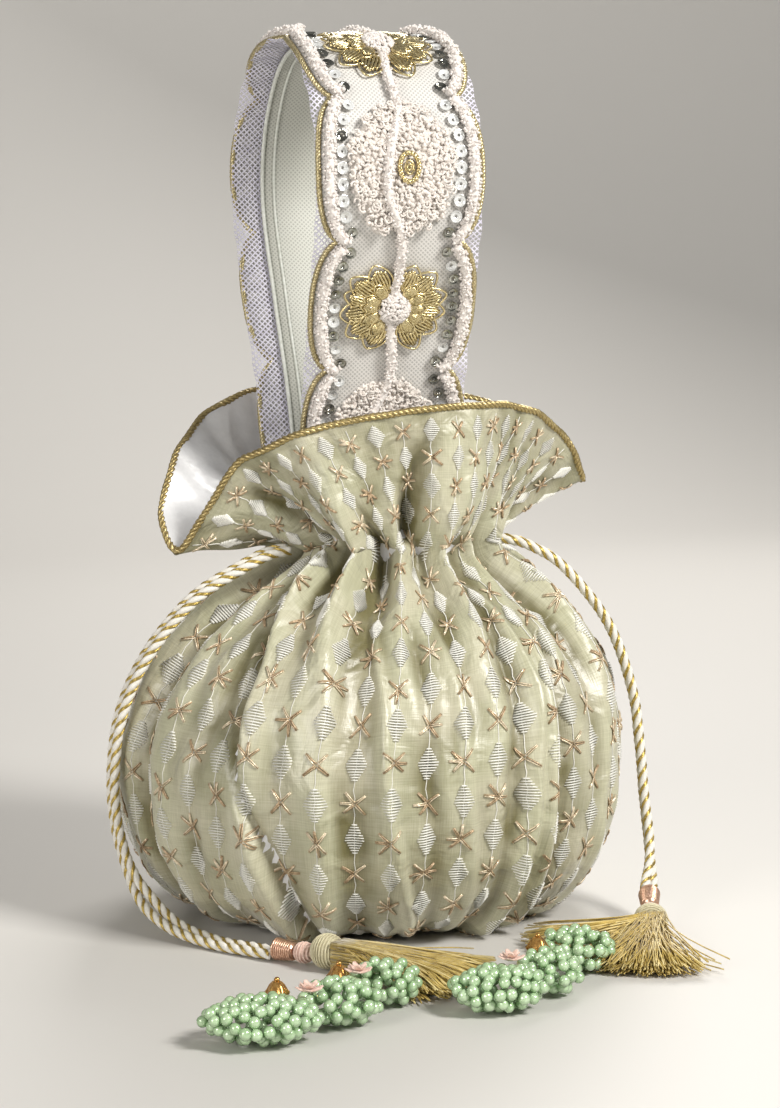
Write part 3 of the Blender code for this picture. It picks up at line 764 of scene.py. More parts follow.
def on_silk(u, v, lift=0.0):
    """Points a little above the cloth at flat places: u round the bag and v up from the base seam."""
    u = np.atleast_1d(np.asarray(u, dtype=float)) / FLAT_WIDTH * AROUND
    v = np.clip(np.atleast_1d(np.asarray(v, dtype=float)) / ROW_STEP, 0, silk_grid.shape[0] - 1.001)
    i, k = v.astype(int), np.floor(u).astype(int)
    up_part, round_part = (v - i)[:, None], (u - k)[:, None]
    k %= AROUND
    m = (k + 1) % AROUND

    def blend(field):
        low = field[i, k] * (1 - round_part) + field[i, m] * round_part
        high = field[i + 1, k] * (1 - round_part) + field[i + 1, m] * round_part
        return low * (1 - up_part) + high * up_part

    return blend(silk_grid) + blend(silk_normal) * np.broadcast_to(lift, (len(v),))[:, None]


STAR_TURNS = (0.78, 2.36, 3.92, 5.50)
stars, diamonds, threads = Mesher(), Mesher(), Mesher()
dice = random.Random(3)
top = BODY_LENGTH + COLLAR_LENGTH
for column in range(COLUMNS):
    u0 = column * COLUMN_STEP
    shift = REPEAT / 2 if column % 2 else 0.0
    level = 0.004 + shift - REPEAT
    while level < top:
        level += REPEAT
        u = u0 + dice.uniform(-0.0006, 0.0006)
        v = level + dice.uniform(-0.0008, 0.0008)
        if 0.004 < v < top - 0.005:
            turns = list(STAR_TURNS)
            turns.extend(dice.sample((1.57, 4.71, 0.0, math.pi), dice.choice((0, 1, 2))))
            for turn in turns:
                turn += dice.uniform(-0.16, 0.16)
                reach = dice.uniform(0.0050, 0.0062)
                for off in (-0.00042, 0.00042):
                    t = np.linspace(0.04, 1, 4)
                    du = np.cos(turn) * reach * t - np.sin(turn) * off * (1 - 0.5 * t)
                    dv = np.sin(turn) * reach * t + np.cos(turn) * off * (1 - 0.5 * t)
                    line = on_silk(u + du, v + dv, 0.00025 + 0.00028 * np.sin(t * math.pi))
                    stars.add(*sweep(line, 0.00036, 3), look=0 if dice.random() < 0.5 else 1)
        middle = level + REPEAT / 2
        if 0.006 < middle < top - 0.007:
            stitches = 12
            half_width, half_height = dice.uniform(0.0036, 0.0044), 0.0062
            for s in range(stitches):
                rise = -half_height + 2 * half_height * (s + 0.5) / stitches
                wide = half_width * (1 - abs(rise) / (half_height * 1.12)) * dice.uniform(0.90, 1.05) + 0.0004
                us = u0 + np.linspace(-wide, wide, 4)
                line = on_silk(us, np.full(4, middle + rise), np.array((0.00005, 0.00032, 0.00032, 0.00005)))
                diamonds.add(*sweep(line, half_height / stitches * 1.36, 3, squash=0.55))
    vs = np.arange(0.003, top - 0.002, 0.0032)
    threads.add(*sweep(on_silk(u0 + 0.0003 * np.sin(vs * 900), vs, 0.00012), 0.00022, 3))

zari = mottled("rose_gold_zari", (0.33, 0.22, 0.12), (0.74, 0.57, 0.38), 1400, 0.36, 0.35)
zari_bright = mottled("pale_gold_zari", (0.64, 0.50, 0.32), (0.98, 0.88, 0.70), 1400, 0.28, 0.35)
floss = mottled("white_silk_floss", (0.78, 0.77, 0.70), (0.94, 0.93, 0.87), 900, 0.32, Sheen_Weight=0.4)
for gathered, name, looks in ((stars, "zari_stars", [zari, zari_bright]), (diamonds, "satin_diamonds", [floss]),
                              (threads, "column_threads", [floss])):
    piece = gathered.build(name, looks)
    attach(piece, "root")

# ---- Lining: a white satin bag inside the silk one ----
# Plain white satin, sewn to the silk at the lip and loose inside, with its own gathers at the neck.
satin = mottled("white_satin", (0.66, 0.66, 0.67), (0.84, 0.84, 0.85), 60, 0.30, bump=0.25, depth=0.0006,
                Sheen_Weight=0.3, Specular_IOR_Level=0.7)
LINING_GAP = 0.0012
lining_grid = (silk_grid - silk_normal * LINING_GAP)[::2, ::2].copy()
lining_grid[0] = lining_grid[0] * (0.94, 0.94, 0) + (0, 0, 0.0030)
lining_grid[:, :, 2] = np.maximum(lining_grid[:, :, 2], 0.0026)
lining = cloth_mesh("satin_lining", lining_grid, silk_fold[::2, ::2], satin, 2 * ROW_STEP)
bottom = bmesh.new()
bottom.from_mesh(lining.data)
bmesh.ops.holes_fill(bottom, edges=[e for e in bottom.edges if e.is_boundary and e.verts[0].co.z < 0.01], sides=0)
bmesh.ops.poke(bottom, faces=[f for f in bottom.faces if len(f.verts) > 4])
bottom.to_mesh(lining.data)
bottom.free()
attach(lining, "root")
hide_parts("inner_lining")

# ---- Lip piping: a twisted gold cord sewn over the edge of the collar ----
# Three strands of gold thread laid into a rope 3 mm thick, hand sewn over the seam of silk and satin.
gold_thread = mottled("gold_piping_thread", (0.24, 0.17, 0.06), (0.66, 0.54, 0.27), 1700, 0.38, 0.8)


def rope(mesher, path, radius, pitch, strands=3, closed=False, look=0):
    """Strands laid round each other along a path."""
    _, side, up = frames(path, closed)
    run = run_along(path)
    total = run[-1] + (np.linalg.norm(path[0] - path[-1]) if closed else 0)
    turns = max(1, round(total / pitch))
    for k in range(strands):
        turn = 2 * math.pi * (run / total * turns + k / strands)
        line = path + (side * np.cos(turn)[:, None] + up * np.sin(turn)[:, None]) * radius * 0.50
        mesher.add(*sweep(line, radius * 0.56, 5, closed=closed), look=look)


lip_line = smooth_line([tuple(p) for p in silk_grid[-1][::8]], 0.0010, closed=True)
gathered = Mesher()
rope(gathered, lip_line + (0, 0, 0.0006), 0.0015, 0.0072, closed=True)
piping = gathered.build("gold_lip_piping", [gold_thread])
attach(piping, "root")
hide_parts("lip_piping")

# ---- Channel cord: the drawcord's run inside the gathers ----
# Between the silk and the lining both drawcords run once round the neck in a sewn channel, pressed flat by the
# gathers, so only the pleats show where they are.
neck_row = int(BODY_LENGTH / ROW_STEP)
channel_line = silk_grid[neck_row] - silk_normal[neck_row] * 0.00088
gathered = Mesher()
gathered.add(*sweep(channel_line[::2], 0.00030, 4, closed=True))
channel = gathered.build("channel_drawcord", [cord_white])
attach(channel, "root")
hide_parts("channel_cord")

# ---- Handle: net base, scalloped facing, satin lining strip and gold braid edge ----
# A wide bracelet strap that arches from the front of the neck to the back: stiff lilac net, a white facing cut in
# scallops and bound with gold braid, and inside a strip of pale satin with turned edges under more net.
HANDLE_ROUTE = (
    (0.0030, -0.0170, 0.1640), (0.0030, -0.0240, 0.2050), (0.0015, -0.0400, 0.2450), (0.0, -0.0565, 0.2840),
    (0.0, -0.0535, 0.3155), (-0.0005, -0.0330, 0.3410), (-0.0015, 0.0, 0.3495), (-0.0025, 0.0330, 0.3410),
    (-0.0035, 0.0535, 0.3155), (-0.0040, 0.0565, 0.2840), (-0.0035, 0.0400, 0.2450), (-0.0020, 0.0240, 0.2050),
    (0.0, 0.0170, 0.1640),
)
HANDLE_OFFSET = -0.004
NET_HALF_WIDTH = 0.0335
WAIST_HALF_WIDTH = 0.0235
SCALLOP_HALF_WIDTH = 0.0335
LINING_HALF_WIDTH = 0.0215
MEDALLIONS = 8
MEDALLION_PITCH = 0.056
GOLD_MEDALLIONS = (2, 4, 5, 7)
FACING_LIFT = 0.0010
FACING_TOP = 0.0018

band_line = smooth_line(HANDLE_ROUTE, 0.0010)
band_run = run_along(band_line)
BAND_LENGTH = float(band_run[-1])
band_along = np.gradient(band_line, axis=0)
band_normal = np.cross(np.array([1.0, 0, 0]), band_along)
band_normal /= np.linalg.norm(band_normal, axis=1)[:, None]
if band_normal[len(band_normal) // 2][2] < 0:
    band_normal = -band_normal


def on_band(run, x, lift):
    """Points over the strap: a run from its front end, a place across it and a lift off its middle layer."""
    run, x, lift = np.broadcast_arrays(np.asarray(run, float), np.asarray(x, float), np.asarray(lift, float))
    place = np.stack([np.interp(run, band_run, band_line[:, k]) for k in range(3)], axis=-1)
    normal = np.stack([np.interp(run, band_run, band_normal[:, k]) for k in range(3)], axis=-1)
    place = place + normal * lift[..., None]
    place[..., 0] += HANDLE_OFFSET + x
    return place


def scallop_half_width(run):
    """Half width of the facing: widest at each medallion, with a waist over the crest."""
    phase = ((np.asarray(run, float) - BAND_LENGTH / 2) / MEDALLION_PITCH + 0.5) % 1.0
    bulge = np.sqrt(np.maximum(0.0, 1 - (2 * np.minimum(phase, 1 - phase)) ** 2.4))
    return WAIST_HALF_WIDTH + (SCALLOP_HALF_WIDTH - WAIST_HALF_WIDTH) * bulge


def band_sheet(name, half_width, lift, thickness, columns, material, wave=0.0):
    """One layer of the strap as a closed sheet with a UV map in millimetres."""
    runs = np.arange(0, BAND_LENGTH, 0.0020)
    verts = []
    flats = []
    for run in runs:
        half = float(half_width(run)) if callable(half_width) else half_width
        for share in np.linspace(-1, 1, columns):
            ripple = wave * math.sin(run * 420 + share * 2) * abs(share) ** 3
            verts.append(tuple(on_band(run, share * half, lift + ripple)))
            flats.append((share * half * 1000, run * 1000))
    faces = []
    for i in range(len(runs) - 1):
        for k in range(columns - 1):
            faces.append((i * columns + k, i * columns + k + 1, (i + 1) * columns + k + 1, (i + 1) * columns + k))
    mesh = smooth_mesh(name, verts, faces, [material])
    mesh.uv_layers.new(name="flat_mm").data.foreach_set("uv", [c for f in faces for k in f for c in flats[k]])
    made = shown(mesh)
    if mesh.polygons[len(faces) // 2].normal.z <= 0:
        mesh.flip_normals()
    wall = made.modifiers.new("Cloth", "SOLIDIFY")
    wall.thickness = thickness
    wall.offset = 1
    apply_modifiers(made)
    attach(made, "root")
    return made


def net_material():
    """Fine lilac white tulle: crossed threads with open holes between them."""
    made = new_material("lilac_net", (0.72, 0.70, 0.80), 0.6, Sheen_Weight=0.2)
    tree = made.node_tree
    link = tree.links.new
    shader = tree.nodes["Principled BSDF"]
    flat = flat_place(tree)
    either = tree.nodes.new("ShaderNodeMath")
    either.operation = "MAXIMUM"
    for entry, turn in enumerate((0.79, -0.79)):
        place = add_node(tree, "ShaderNodeMapping", Rotation=(0, 0, turn))
        stripe = add_node(tree, "ShaderNodeTexWave", Scale=0.19)
        cut = add_node(tree, "ShaderNodeMapRange", From_Min=0.70, From_Max=0.84)
        link(flat, place.inputs["Vector"])
        link(place.outputs["Vector"], stripe.inputs["Vector"])
        link(stripe.outputs["Fac"], cut.inputs["Value"])
        link(cut.outputs["Result"], either.inputs[entry])
    link(either.outputs["Value"], shader.inputs["Alpha"])
    blotch = add_node(tree, "ShaderNodeTexNoise", Scale=0.2)
    tone = colour_mix(tree, (0.60, 0.57, 0.72), (0.86, 0.85, 0.92))
    link(flat, blotch.inputs["Vector"])
    link(blotch.outputs["Fac"], tone.inputs["Factor"])
    link(tone.outputs["Result"], shader.inputs["Base Color"])
    return made


def woven_material(name, dark, light, roughness):
    """Plain satin or cotton seen under a layer of net, whose threads cross it on the bias."""
    made = new_material(name, light, roughness, Sheen_Weight=0.25)
    tree = made.node_tree
    link = tree.links.new
    shader = tree.nodes["Principled BSDF"]
    bias = add_node(tree, "ShaderNodeMapping", Rotation=(0, 0, 0.785))
    link(flat_place(tree), bias.inputs["Vector"])
    both = tree.nodes.new("ShaderNodeMath")
    both.operation = "MAXIMUM"
    for entry, direction in enumerate("XY"):
        yarns = add_node(tree, "ShaderNodeTexWave", Scale=0.24, Distortion=0.4)
        yarns.bands_direction = direction
        link(bias.outputs["Vector"], yarns.inputs["Vector"])
        link(yarns.outputs["Fac"], both.inputs[entry])
    tone = colour_mix(tree, dark, light)
    relief = add_node(tree, "ShaderNodeBump", Strength=0.3, Distance=0.0002)
    link(both.outputs["Value"], tone.inputs["Factor"])
    link(tone.outputs["Result"], shader.inputs["Base Color"])
    link(both.outputs["Value"], relief.inputs["Height"])
    link(relief.outputs["Normal"], shader.inputs["Normal"])
    return made


net = net_material()
facing_cloth = woven_material("white_facing", (0.36, 0.35, 0.33), (0.70, 0.68, 0.65), 0.55)
strip_satin = woven_material("pale_green_satin", (0.28, 0.29, 0.25), (0.53, 0.53, 0.48), 0.45)
net_layer = band_sheet("handle_tulle", NET_HALF_WIDTH, 0.0, 0.00015, 15, net, wave=0.0009)
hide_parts("handle_net")
facing = band_sheet("scalloped_facing", lambda run: scallop_half_width(run) - 0.0012, FACING_LIFT, 0.0006, 9,
                    facing_cloth)
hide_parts("handle_facing")
strip = band_sheet("satin_strip", LINING_HALF_WIDTH, -0.0012, 0.0004, 9, strip_satin)
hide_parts("handle_lining")

# two turned and stitched edges of the inner strip, and a row of small stitches beside each
strip_runs = np.arange(0.002, BAND_LENGTH - 0.002, 0.0022)
gathered = Mesher()
for sign in (-1, 1):
    gathered.add(*sweep(on_band(strip_runs, sign * (LINING_HALF_WIDTH - 0.0006), -0.0016), 0.0008, 6))
    gathered.add(*sweep(on_band(strip_runs, sign * (LINING_HALF_WIDTH - 0.0056), -0.0016), 0.0006, 4))
hem_satin = mottled("hem_satin", (0.60, 0.62, 0.55), (0.80, 0.82, 0.77), 500, 0.45)
hems = gathered.build("satin_strip_hems", [hem_satin])
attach(hems, "root")

edge_gold = mottled("scallop_gold_braid", (0.30, 0.23, 0.09), (0.86, 0.76, 0.48), 1700, 0.34, 0.75)
edge_runs = np.arange(0.001, BAND_LENGTH - 0.001, 0.0008)
for name, sign in (("left", -1), ("right", 1)):
    gathered = Mesher()
    line = on_band(edge_runs, sign * (scallop_half_width(edge_runs) - 0.0006), FACING_LIFT + 0.0003)
    rope(gathered, line, 0.0012, 0.0042)
    edge = gathered.build(f"scallop_edge_{name}", [edge_gold])
    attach(edge, "root")
    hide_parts(f"scallop_braid_{name}")

# ---- Chenille outlines and centre line ----
# Thick white chenille cord, couched along the inside of each scallop and once down the middle of the strap. Its
# pile stands out all round, so it is built as a core with many small tufts.
TUFT = np.array([(1, 0, 0), (-1, 0, 0), (0, 1, 0), (0, -1, 0), (0, 0, 1), (0, 0, -1)], dtype=float)
TUFT_FACES = ((0, 2, 4), (2, 1, 4), (1, 3, 4), (3, 0, 4), (2, 0, 5), (1, 2, 5), (3, 1, 5), (0, 3, 5))
ICO = (1 + 5 ** 0.5) / 2
NUB = np.array([(-1, ICO, 0), (1, ICO, 0), (-1, -ICO, 0), (1, -ICO, 0), (0, -1, ICO), (0, 1, ICO), (0, -1, -ICO),
                (0, 1, -ICO), (ICO, 0, -1), (ICO, 0, 1), (-ICO, 0, -1), (-ICO, 0, 1)]) / math.sqrt(1 + ICO ** 2)
NUB_FACES = ((0, 11, 5), (0, 5, 1), (0, 1, 7), (0, 7, 10), (0, 10, 11), (1, 5, 9), (5, 11, 4), (11, 10, 2),
             (10, 7, 6), (7, 1, 8), (3, 9, 4), (3, 4, 2), (3, 2, 6), (3, 6, 8), (3, 8, 9), (4, 9, 5), (2, 4, 11),
             (6, 2, 10), (8, 6, 7), (9, 8, 1))
pile = mottled("white_chenille", (0.66, 0.59, 0.55), (0.94, 0.90, 0.86), 800, 0.95, bump=0.6, depth=0.0004,
               Sheen_Weight=0.5)


def tuft(mesher, centre, size, roll, look=0):
    """A small rounded tuft of pile, stretched at random."""
    stretch = np.array([size * roll.uniform(0.7, 1.3) for _ in range(3)])
    mesher.add(np.asarray(centre) + TUFT * stretch * 1.15, TUFT_FACES, look)


def chenille(mesher, runs, xs, lift, radius, per_step, roll):
    line = on_band(runs, xs, lift + radius * 0.86)
    mesher.add(*sweep(line, radius * 0.78, 7))
    _, side, up = frames(line)
    for i in range(len(line)):
        for _ in range(per_step):
            turn = roll.uniform(0, 2 * math.pi)
            off = side[i] * math.cos(turn) + up[i] * math.sin(turn)
            tuft(mesher, line[i] + off * radius * roll.uniform(0.66, 1.0), radius * 0.30, roll)


def medallion_run(k):
    return BAND_LENGTH / 2 + (k - (MEDALLIONS - 1) / 2) * MEDALLION_PITCH


roll = random.Random(21)
for k in range(MEDALLIONS):
    middle = medallion_run(k)
    runs = np.arange(middle - 0.0274, middle + 0.0275, 0.0011)
    runs = runs[(runs > 0.001) & (runs < BAND_LENGTH - 0.001)]
    gathered = Mesher()
    for sign in (-1, 1):
        chenille(gathered, runs, sign * (scallop_half_width(runs) - 0.0044), FACING_TOP, 0.0024, 6, roll)
    ring = gathered.build(f"chenille_outline_{k + 1}", [pile])
    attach(ring, "root")
    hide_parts(f"chenille_ring_{k + 1}")
gathered = Mesher()
centre_runs = np.arange(0.004, BAND_LENGTH - 0.004, 0.0012)
from_medallion = centre_runs[:, None] - np.array([medallion_run(k) for k in range(MEDALLIONS)])
nearest = np.argmin(np.abs(from_medallion), axis=1)
apart = np.abs(from_medallion).min(axis=1)
over_boucle = np.array([k + 1 not in GOLD_MEDALLIONS for k in nearest]) * np.exp(-(apart / 0.017) ** 4)
over_boucle = np.convolve(np.pad(over_boucle, 3, mode="edge"), np.ones(7) / 7, mode="valid")
aside = 0.0010 * np.sin(centre_runs * 130) - 0.0058 * over_boucle
chenille(gathered, centre_runs, aside, FACING_TOP + 0.0020 * over_boucle, 0.0022, 5, roll)
centre_line = gathered.build("chenille_centre_line", [pile])
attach(centre_line, "root")

# ---- Medallions: gold leaf rosettes and boucle ovals in turn ----
# The gold ones are rosettes of wire outlined leaves filled with cut bullion round a chenille ball. The others are
# ovals of looped cream boucle with a small gold ring.
MEDALLION_ACROSS = 0.0212
MEDALLION_ALONG = 0.0245
bullion = mottled("cut_bullion", (0.34, 0.25, 0.09), (0.92, 0.80, 0.48), 1300, 0.26, 0.9)
leaf_wire = mottled("gold_leaf_wire", (0.50, 0.38, 0.14), (0.95, 0.84, 0.54), 1500, 0.24, 0.9)
boucle_yarn = mottled("cream_boucle", (0.64, 0.57, 0.52), (0.94, 0.89, 0.83), 620, 0.95, bump=0.7, depth=0.0005,
                      Sheen_Weight=0.5)


def petal(mesher, middle, turn, inner, outer, half_width, lift):
    """One leaf: a looped wire outline and curved bullion strips inside."""
    def place(distance, aside, height):
        run = middle + distance * math.cos(turn) - aside * math.sin(turn)
        x = distance * math.sin(turn) + aside * math.cos(turn)
        return on_band(run, x, lift + height)

    t = np.linspace(0, 2 * math.pi, 22, endpoint=False)
    distance = (inner + outer) / 2 - np.cos(t) * (outer - inner) / 2
    share = np.abs((distance - inner) / (outer - inner))
    aside = half_width * np.sin(t) * np.sin(share ** 0.8 * math.pi * 0.92) ** 0.35
    loop = np.array([place(d, a, 0.0010) for d, a in zip(distance, aside)])
    mesher.add(*sweep(loop, 0.00050, 5, closed=True), look=0)
    for share in (-0.64, -0.38, -0.13, 0.13, 0.38, 0.64):
        reach = np.linspace(0.10, 0.88 - 0.25 * abs(share), 9)
        d = inner + (outer - inner) * reach
        a = half_width * share * np.sin(reach * math.pi) ** 0.7
        high = 0.0009 + 0.0010 * np.sin(reach * math.pi) * (1 - abs(share) * 0.5)
        strip_line = np.array([place(*p) for p in zip(d, a, high)])
        bumps = 0.00062 + 0.00012 * np.cos(np.arange(9) * math.pi)
        mesher.add(*sweep(strip_line, bumps, 5), look=1)


for k in range(MEDALLIONS):
    middle = medallion_run(k)
    gathered = Mesher()
    ground_sides = 28
    turn = np.linspace(0, 2 * math.pi, ground_sides, endpoint=False)
    gold = k + 1 in GOLD_MEDALLIONS
    # the raised ground under the work: three rings, a hub and a closed underside
    spread, heights = (0.55, (-0.0002, 0.0003, 0.0008)) if gold else (0.97, (-0.0002, 0.0014, 0.0022))
    dome = [on_band(np.clip(middle + MEDALLION_ALONG * spread * s * np.cos(turn), 0, BAND_LENGTH),
                    MEDALLION_ACROSS * spread * s * np.sin(turn), FACING_TOP + h)
            for s, h in zip((1.0, 0.92, 0.6), heights)]
    hub = on_band(middle, 0.0, FACING_TOP + heights[2] + 0.0002)
    under = on_band(middle, 0.0, FACING_TOP - 0.0004)
    verts = np.concatenate([*dome, [hub], [under]])
    faces = ring_faces(3, ground_sides, closed=False)
    for i in range(ground_sides):
        j = (i + 1) % ground_sides
        faces.append((2 * ground_sides + i, 3 * ground_sides, 2 * ground_sides + j))
        faces.append((j, 3 * ground_sides + 1, i))
    gathered.add(verts, faces, look=2)
    if gold:
        for sign in (-1, 1):
            for degrees in (27, 50, 74, 98, 122, 150):
                aim = sign * math.radians(degrees + roll.uniform(-5, 5))
                far = roll.uniform(0.0205, 0.0232) * (1.0 if 40 < degrees < 130 else 0.94)
                petal(gathered, middle, aim, 0.0066, far, roll.uniform(0.0044, 0.0054), FACING_TOP + 0.0006)
            for degrees in (40, 64, 88, 112, 138):
                aim = sign * math.radians(degrees + roll.uniform(-5, 5))
                petal(gathered, middle, aim, 0.0060, roll.uniform(0.0125, 0.0150), 0.0024, FACING_TOP + 0.0017)
        core_ball = np.array([on_band(middle + 0.0062 * x, 0.0062 * y, FACING_TOP + 0.0006 + 0.0040 * max(z, 0))
                              for x, y, z in NUB])
        gathered.add(core_ball, NUB_FACES, look=3)
        reach = 0.0068
        for _ in range(330):
            a, b = roll.uniform(0, 2 * math.pi), math.acos(roll.uniform(0.0, 1.0))
            tuft(gathered, on_band(middle + reach * math.sin(b) * math.cos(a), reach * math.sin(b) * math.sin(a),
                                   FACING_TOP + 0.0010 + 0.0044 * math.cos(b)), 0.00085, roll, look=3)
        looks = [leaf_wire, bullion, facing_cloth, pile]
    else:
        for _ in range(1050):
            a, s = roll.uniform(0, 2 * math.pi), math.sqrt(roll.random())
            wide = 1.0 + 0.04 * math.sin(5 * a + k) + 0.03 * math.sin(9 * a)
            run, x = middle + MEDALLION_ALONG * wide * s * math.cos(a), MEDALLION_ACROSS * wide * s * math.sin(a)
            if math.hypot(run - middle, x - 0.0020) < 0.0036:
                continue
            high = FACING_TOP + 0.0016 + 0.0012 * (1 - s * s) + 0.0007 * roll.random()
            tuft(gathered, on_band(min(max(run, 0), BAND_LENGTH), x, high), 0.00098, roll, look=0)
        for _ in range(170):
            a, s = roll.uniform(0, 2 * math.pi), 0.25 + 0.75 * math.sqrt(roll.random())
            run0, x0 = middle + MEDALLION_ALONG * s * math.cos(a), MEDALLION_ACROSS * s * math.sin(a)
            b = np.linspace(0, 1.6 * math.pi, 6) + roll.uniform(0, 6.3)
            curl = on_band(np.clip(run0 + 0.0013 * np.cos(b), 0, BAND_LENGTH), x0 + 0.0013 * np.sin(b),
                           FACING_TOP + 0.0030 + 0.0008 * np.sin(b * 0.7))
            gathered.add(*sweep(curl, 0.00045, 4), look=0)
        t = np.linspace(0, 2 * math.pi, 60, endpoint=False)
        oval = on_band(middle + 0.0050 * np.cos(t), 0.0020 + 0.0038 * np.sin(t), FACING_TOP + 0.0040)
        rope(gathered, oval, 0.0011, 0.0026, 2, closed=True, look=1)
        for scale in (0.25, 0.55):
            curl = on_band(middle + 0.0042 * scale * np.cos(t), 0.0020 + 0.0030 * scale * np.sin(t),
                           FACING_TOP + 0.0040)
            gathered.add(*sweep(curl, 0.0005, 5, closed=True), look=3)
        looks = [boucle_yarn, leaf_wire, boucle_yarn, bullion]
    piece = gathered.build(f"{'leaf_rosette' if gold else 'boucle_oval'}_{k + 1}", looks)
    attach(piece, "root")
    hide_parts(f"medallion_{k + 1}")

# ---- Sequins: cupped rings sewn between the chenille and the medallions ----
# Punched 5 mm cups, some mirror silver and some pearl white, each held by a stitch through its centre hole.
mirror = mottled("mirror_sequin", (0.16, 0.16, 0.14), (0.62, 0.62, 0.56), 300, 0.08, 1.0)
pearl_white = mottled("white_sequin", (0.74, 0.75, 0.74), (0.92, 0.93, 0.92), 300, 0.16, 0.25, Coat_Weight=0.8)
gathered = Mesher()
CUP = ((0.00045, 0.00030), (0.0012, 0.0), (0.0020, 0.00030), (0.0024, 0.00075), (0.0020, 0.00018),
       (0.0012, -0.00015))


def sequin(mesher, run, x, look):
    tilt, lean = roll.uniform(-0.16, 0.16), roll.uniform(-0.16, 0.16)
    sides = 12
    verts = []
    for radius, height in CUP:
        for i in range(sides):
            a = 2 * math.pi * i / sides
            dr, dx = radius * math.cos(a), radius * math.sin(a)
            verts.append(on_band(run + dr, x + dx, FACING_TOP + 0.0006 + height + dr * tilt + dx * lean))
    mesher.add(verts, ring_faces(len(CUP), sides), look)


for k in range(MEDALLIONS):
    middle = medallion_run(k)
    for sign in (-1, 1):
        for step in range(9):
            share = (step - 4) / 4.0
            run = middle + share * 0.0240
            if not 0.004 < run < BAND_LENGTH - 0.004:
                continue
            x = sign * (float(scallop_half_width(run)) - 0.0096 + roll.uniform(-0.0003, 0.0003))
            bright = abs(share) in (0.5, 1.0) or roll.random() < 0.45
            sequin(gathered, run, x, 0 if bright and k % 2 else 1 if not bright else roll.randrange(2))
sequins = gathered.build("handle_sequins", [mirror, pearl_white])
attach(sequins, "root")

# ---- Pearl clusters: bunches of mint green pearls ----
# Each bunch is about sixty pearls of 4.5 mm, threaded in loops and drawn tight together, so that they pile up
# round a hidden core. Three bunches hang from each tassel by short threads.
mint = mottled("mint_pearl", (0.42, 0.62, 0.34), (0.68, 0.86, 0.58), 160, 0.16, 0.15, bump=0.0, Coat_Weight=1.0,
               Coat_Roughness=0.05, Specular_IOR_Level=0.8)
mint_tree = mint.node_tree
# painted reflection: the colour turns dark green towards the pearls' rims as the camera sees them, standing in for
# dark surroundings reflected there
rim = add_node(mint_tree, "ShaderNodeLayerWeight", Blend=0.42)
painted_dark_rim = colour_mix(mint_tree, None, (0.13, 0.26, 0.09))
pearl_tone = next(node for node in mint_tree.nodes if node.type == "GROUP")
mint_tree.links.new(rim.outputs["Facing"], painted_dark_rim.inputs["Factor"])
mint_tree.links.new(pearl_tone.outputs["Color"], painted_dark_rim.inputs["A"])
mint_tree.links.new(painted_dark_rim.outputs["Result"], mint_tree.nodes["Principled BSDF"].inputs["Base Color"])
PEARL_RADIUS = 0.0023
CLUSTERS = {
    "left_pearl_cluster_a": ((-0.0960, -0.1920), 0.0205, 0.0150),
    "left_pearl_cluster_b": ((-0.0630, -0.1770), 0.0150, 0.0130),
    "left_pearl_cluster_c": ((-0.0400, -0.1560), 0.0140, 0.0120),
    "right_pearl_cluster_a": ((-0.0040, -0.1760), 0.0175, 0.0140),
    "right_pearl_cluster_b": ((0.0210, -0.1590), 0.0130, 0.0120),
    "right_pearl_cluster_c": ((0.0420, -0.1310), 0.0145, 0.0120),
}


def pearl(mesher, centre, radius):
    """A small sphere."""
    around, rows = 11, 7
    verts = [(0, 0, -1)]
    for r in range(1, rows):
        a = math.pi * r / rows - math.pi / 2
        for i in range(around):
            b = 2 * math.pi * i / around
            verts.append((math.cos(a) * math.cos(b), math.cos(a) * math.sin(b), math.sin(a)))
    verts.append((0, 0, 1))
    faces = []
    for i in range(around):
        j = (i + 1) % around
        faces.append((0, 1 + j, 1 + i))
        last = 1 + (rows - 2) * around
        faces.append((last + i, last + j, len(verts) - 1))
        for r in range(rows - 2):
            a = 1 + r * around
            faces.append((a + i, a + j, a + around + j, a + around + i))
    mesher.add(np.array(verts) * radius + np.asarray(centre), faces)


for name, (spot, half_length, half_width) in CLUSTERS.items():
    roll = random.Random(name)
    middle = np.array((*spot, 0.0086))
    size = np.array((half_length, half_width, 0.0082)) - PEARL_RADIUS * 0.7
    placed = []
    for _ in range(5000):
        way = np.array([roll.gauss(0, 1) for _ in range(3)])
        way /= np.linalg.norm(way)
        spot_now = middle + way * size * roll.uniform(0.90, 1.10)
        spot_now[2] = max(spot_now[2], PEARL_RADIUS + 0.0003)
        if all(np.linalg.norm(spot_now - other) > PEARL_RADIUS * 1.66 for other in placed):
            placed.append(spot_now)
    gathered = Mesher()
    for place in placed:
        pearl(gathered, place, PEARL_RADIUS * roll.uniform(0.93, 1.04))
    bunch = gathered.build(f"{name}_pearls", [mint])
    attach(bunch, "root")
    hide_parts(name)

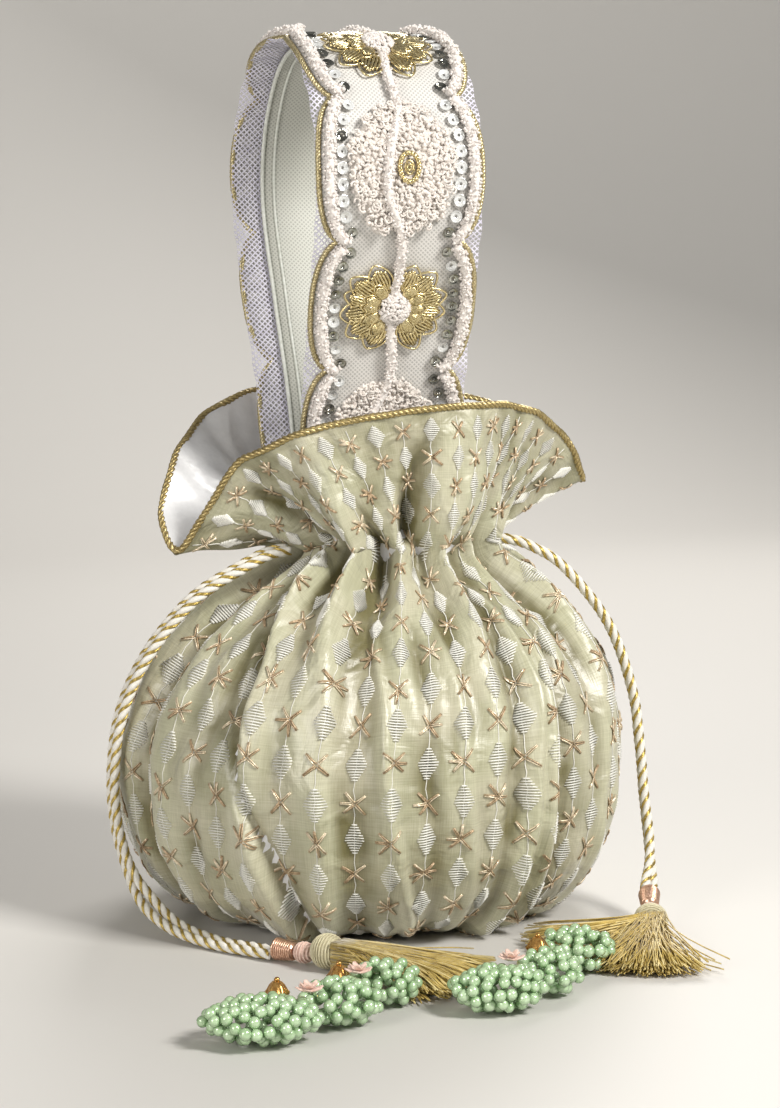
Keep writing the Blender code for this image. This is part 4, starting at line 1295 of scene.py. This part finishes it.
# ---- Flower caps and thread flowers ----
# Orange gold bell caps with a ruffled rim and small pink flowers of folded ribbon, tied in between the bunches.
cap_gold = mottled("orange_gold_cap", (0.36, 0.15, 0.03), (0.86, 0.52, 0.17), 700, 0.26, 0.85)
flower_pink = mottled("pink_loop_thread", (0.62, 0.38, 0.30), (0.90, 0.70, 0.60), 800, 0.75, Sheen_Weight=0.4)
CAPS = {"left_flower_cap_a": (-0.0860, -0.1760), "left_flower_cap_b": (-0.0590, -0.1610),
        "right_flower_cap": (0.0230, -0.1430)}
FLOWERS = {"left_thread_flower_a": (-0.0775, -0.1880), "left_thread_flower_b": (-0.0540, -0.1690),
           "right_thread_flower": (0.0040, -0.1680)}
BELL = ((0.0007, 0.0030), (0.0017, 0.0026), (0.0028, 0.0012), (0.0037, -0.0010), (0.0043, -0.0020), (0.0039, -0.0018),
        (0.0026, 0.0006), (0.0007, 0.0022))
for name, spot in CAPS.items():
    gathered = Mesher()
    sides = 40
    turn = np.linspace(0, 2 * math.pi, sides, endpoint=False)
    rings = []
    for radius, height in BELL:
        flare = max(0.0, (radius - 0.002) / 0.003)
        reach = radius * (1 + 0.16 * flare * np.cos(5 * turn))
        rings.append(np.stack([spot[0] + reach * np.cos(turn), spot[1] + reach * np.sin(turn),
                               0.0146 + height + 0.0007 * flare * np.cos(5 * turn)], axis=1))
    gathered.add(np.concatenate(rings), ring_faces(len(rings), sides))
    pearl(gathered, (*spot, 0.0178), 0.0011)
    cap = gathered.build(f"{name}_bell", [cap_gold])
    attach(cap, "root")
    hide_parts(name)
PETALS = ((6, 0.0050, 0.0021, 0.0, 0.0014), (5, 0.0033, 0.0015, 0.0009, 0.0022))
for name, spot in FLOWERS.items():
    gathered = Mesher()
    for petals, reach, width, lift, climb in PETALS:
        for p in range(petals):
            turn = 2 * math.pi * (p + 0.4 * (petals == 5)) / petals + roll.uniform(-0.2, 0.2)
            t = np.linspace(0.08, 1.0, 7)
            line = np.stack([spot[0] + reach * t * math.cos(turn), spot[1] + reach * t * math.sin(turn),
                             0.0164 + lift + climb * t ** 2], axis=1)
            gathered.add(*sweep(line, width * np.sin(np.pi * (0.12 + 0.80 * t)) ** 0.7, 8, squash=0.22))
    pearl(gathered, (*spot, 0.0180), 0.0010)
    flower = gathered.build(f"{name}_petals", [flower_pink])
    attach(flower, "root")
    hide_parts(name)
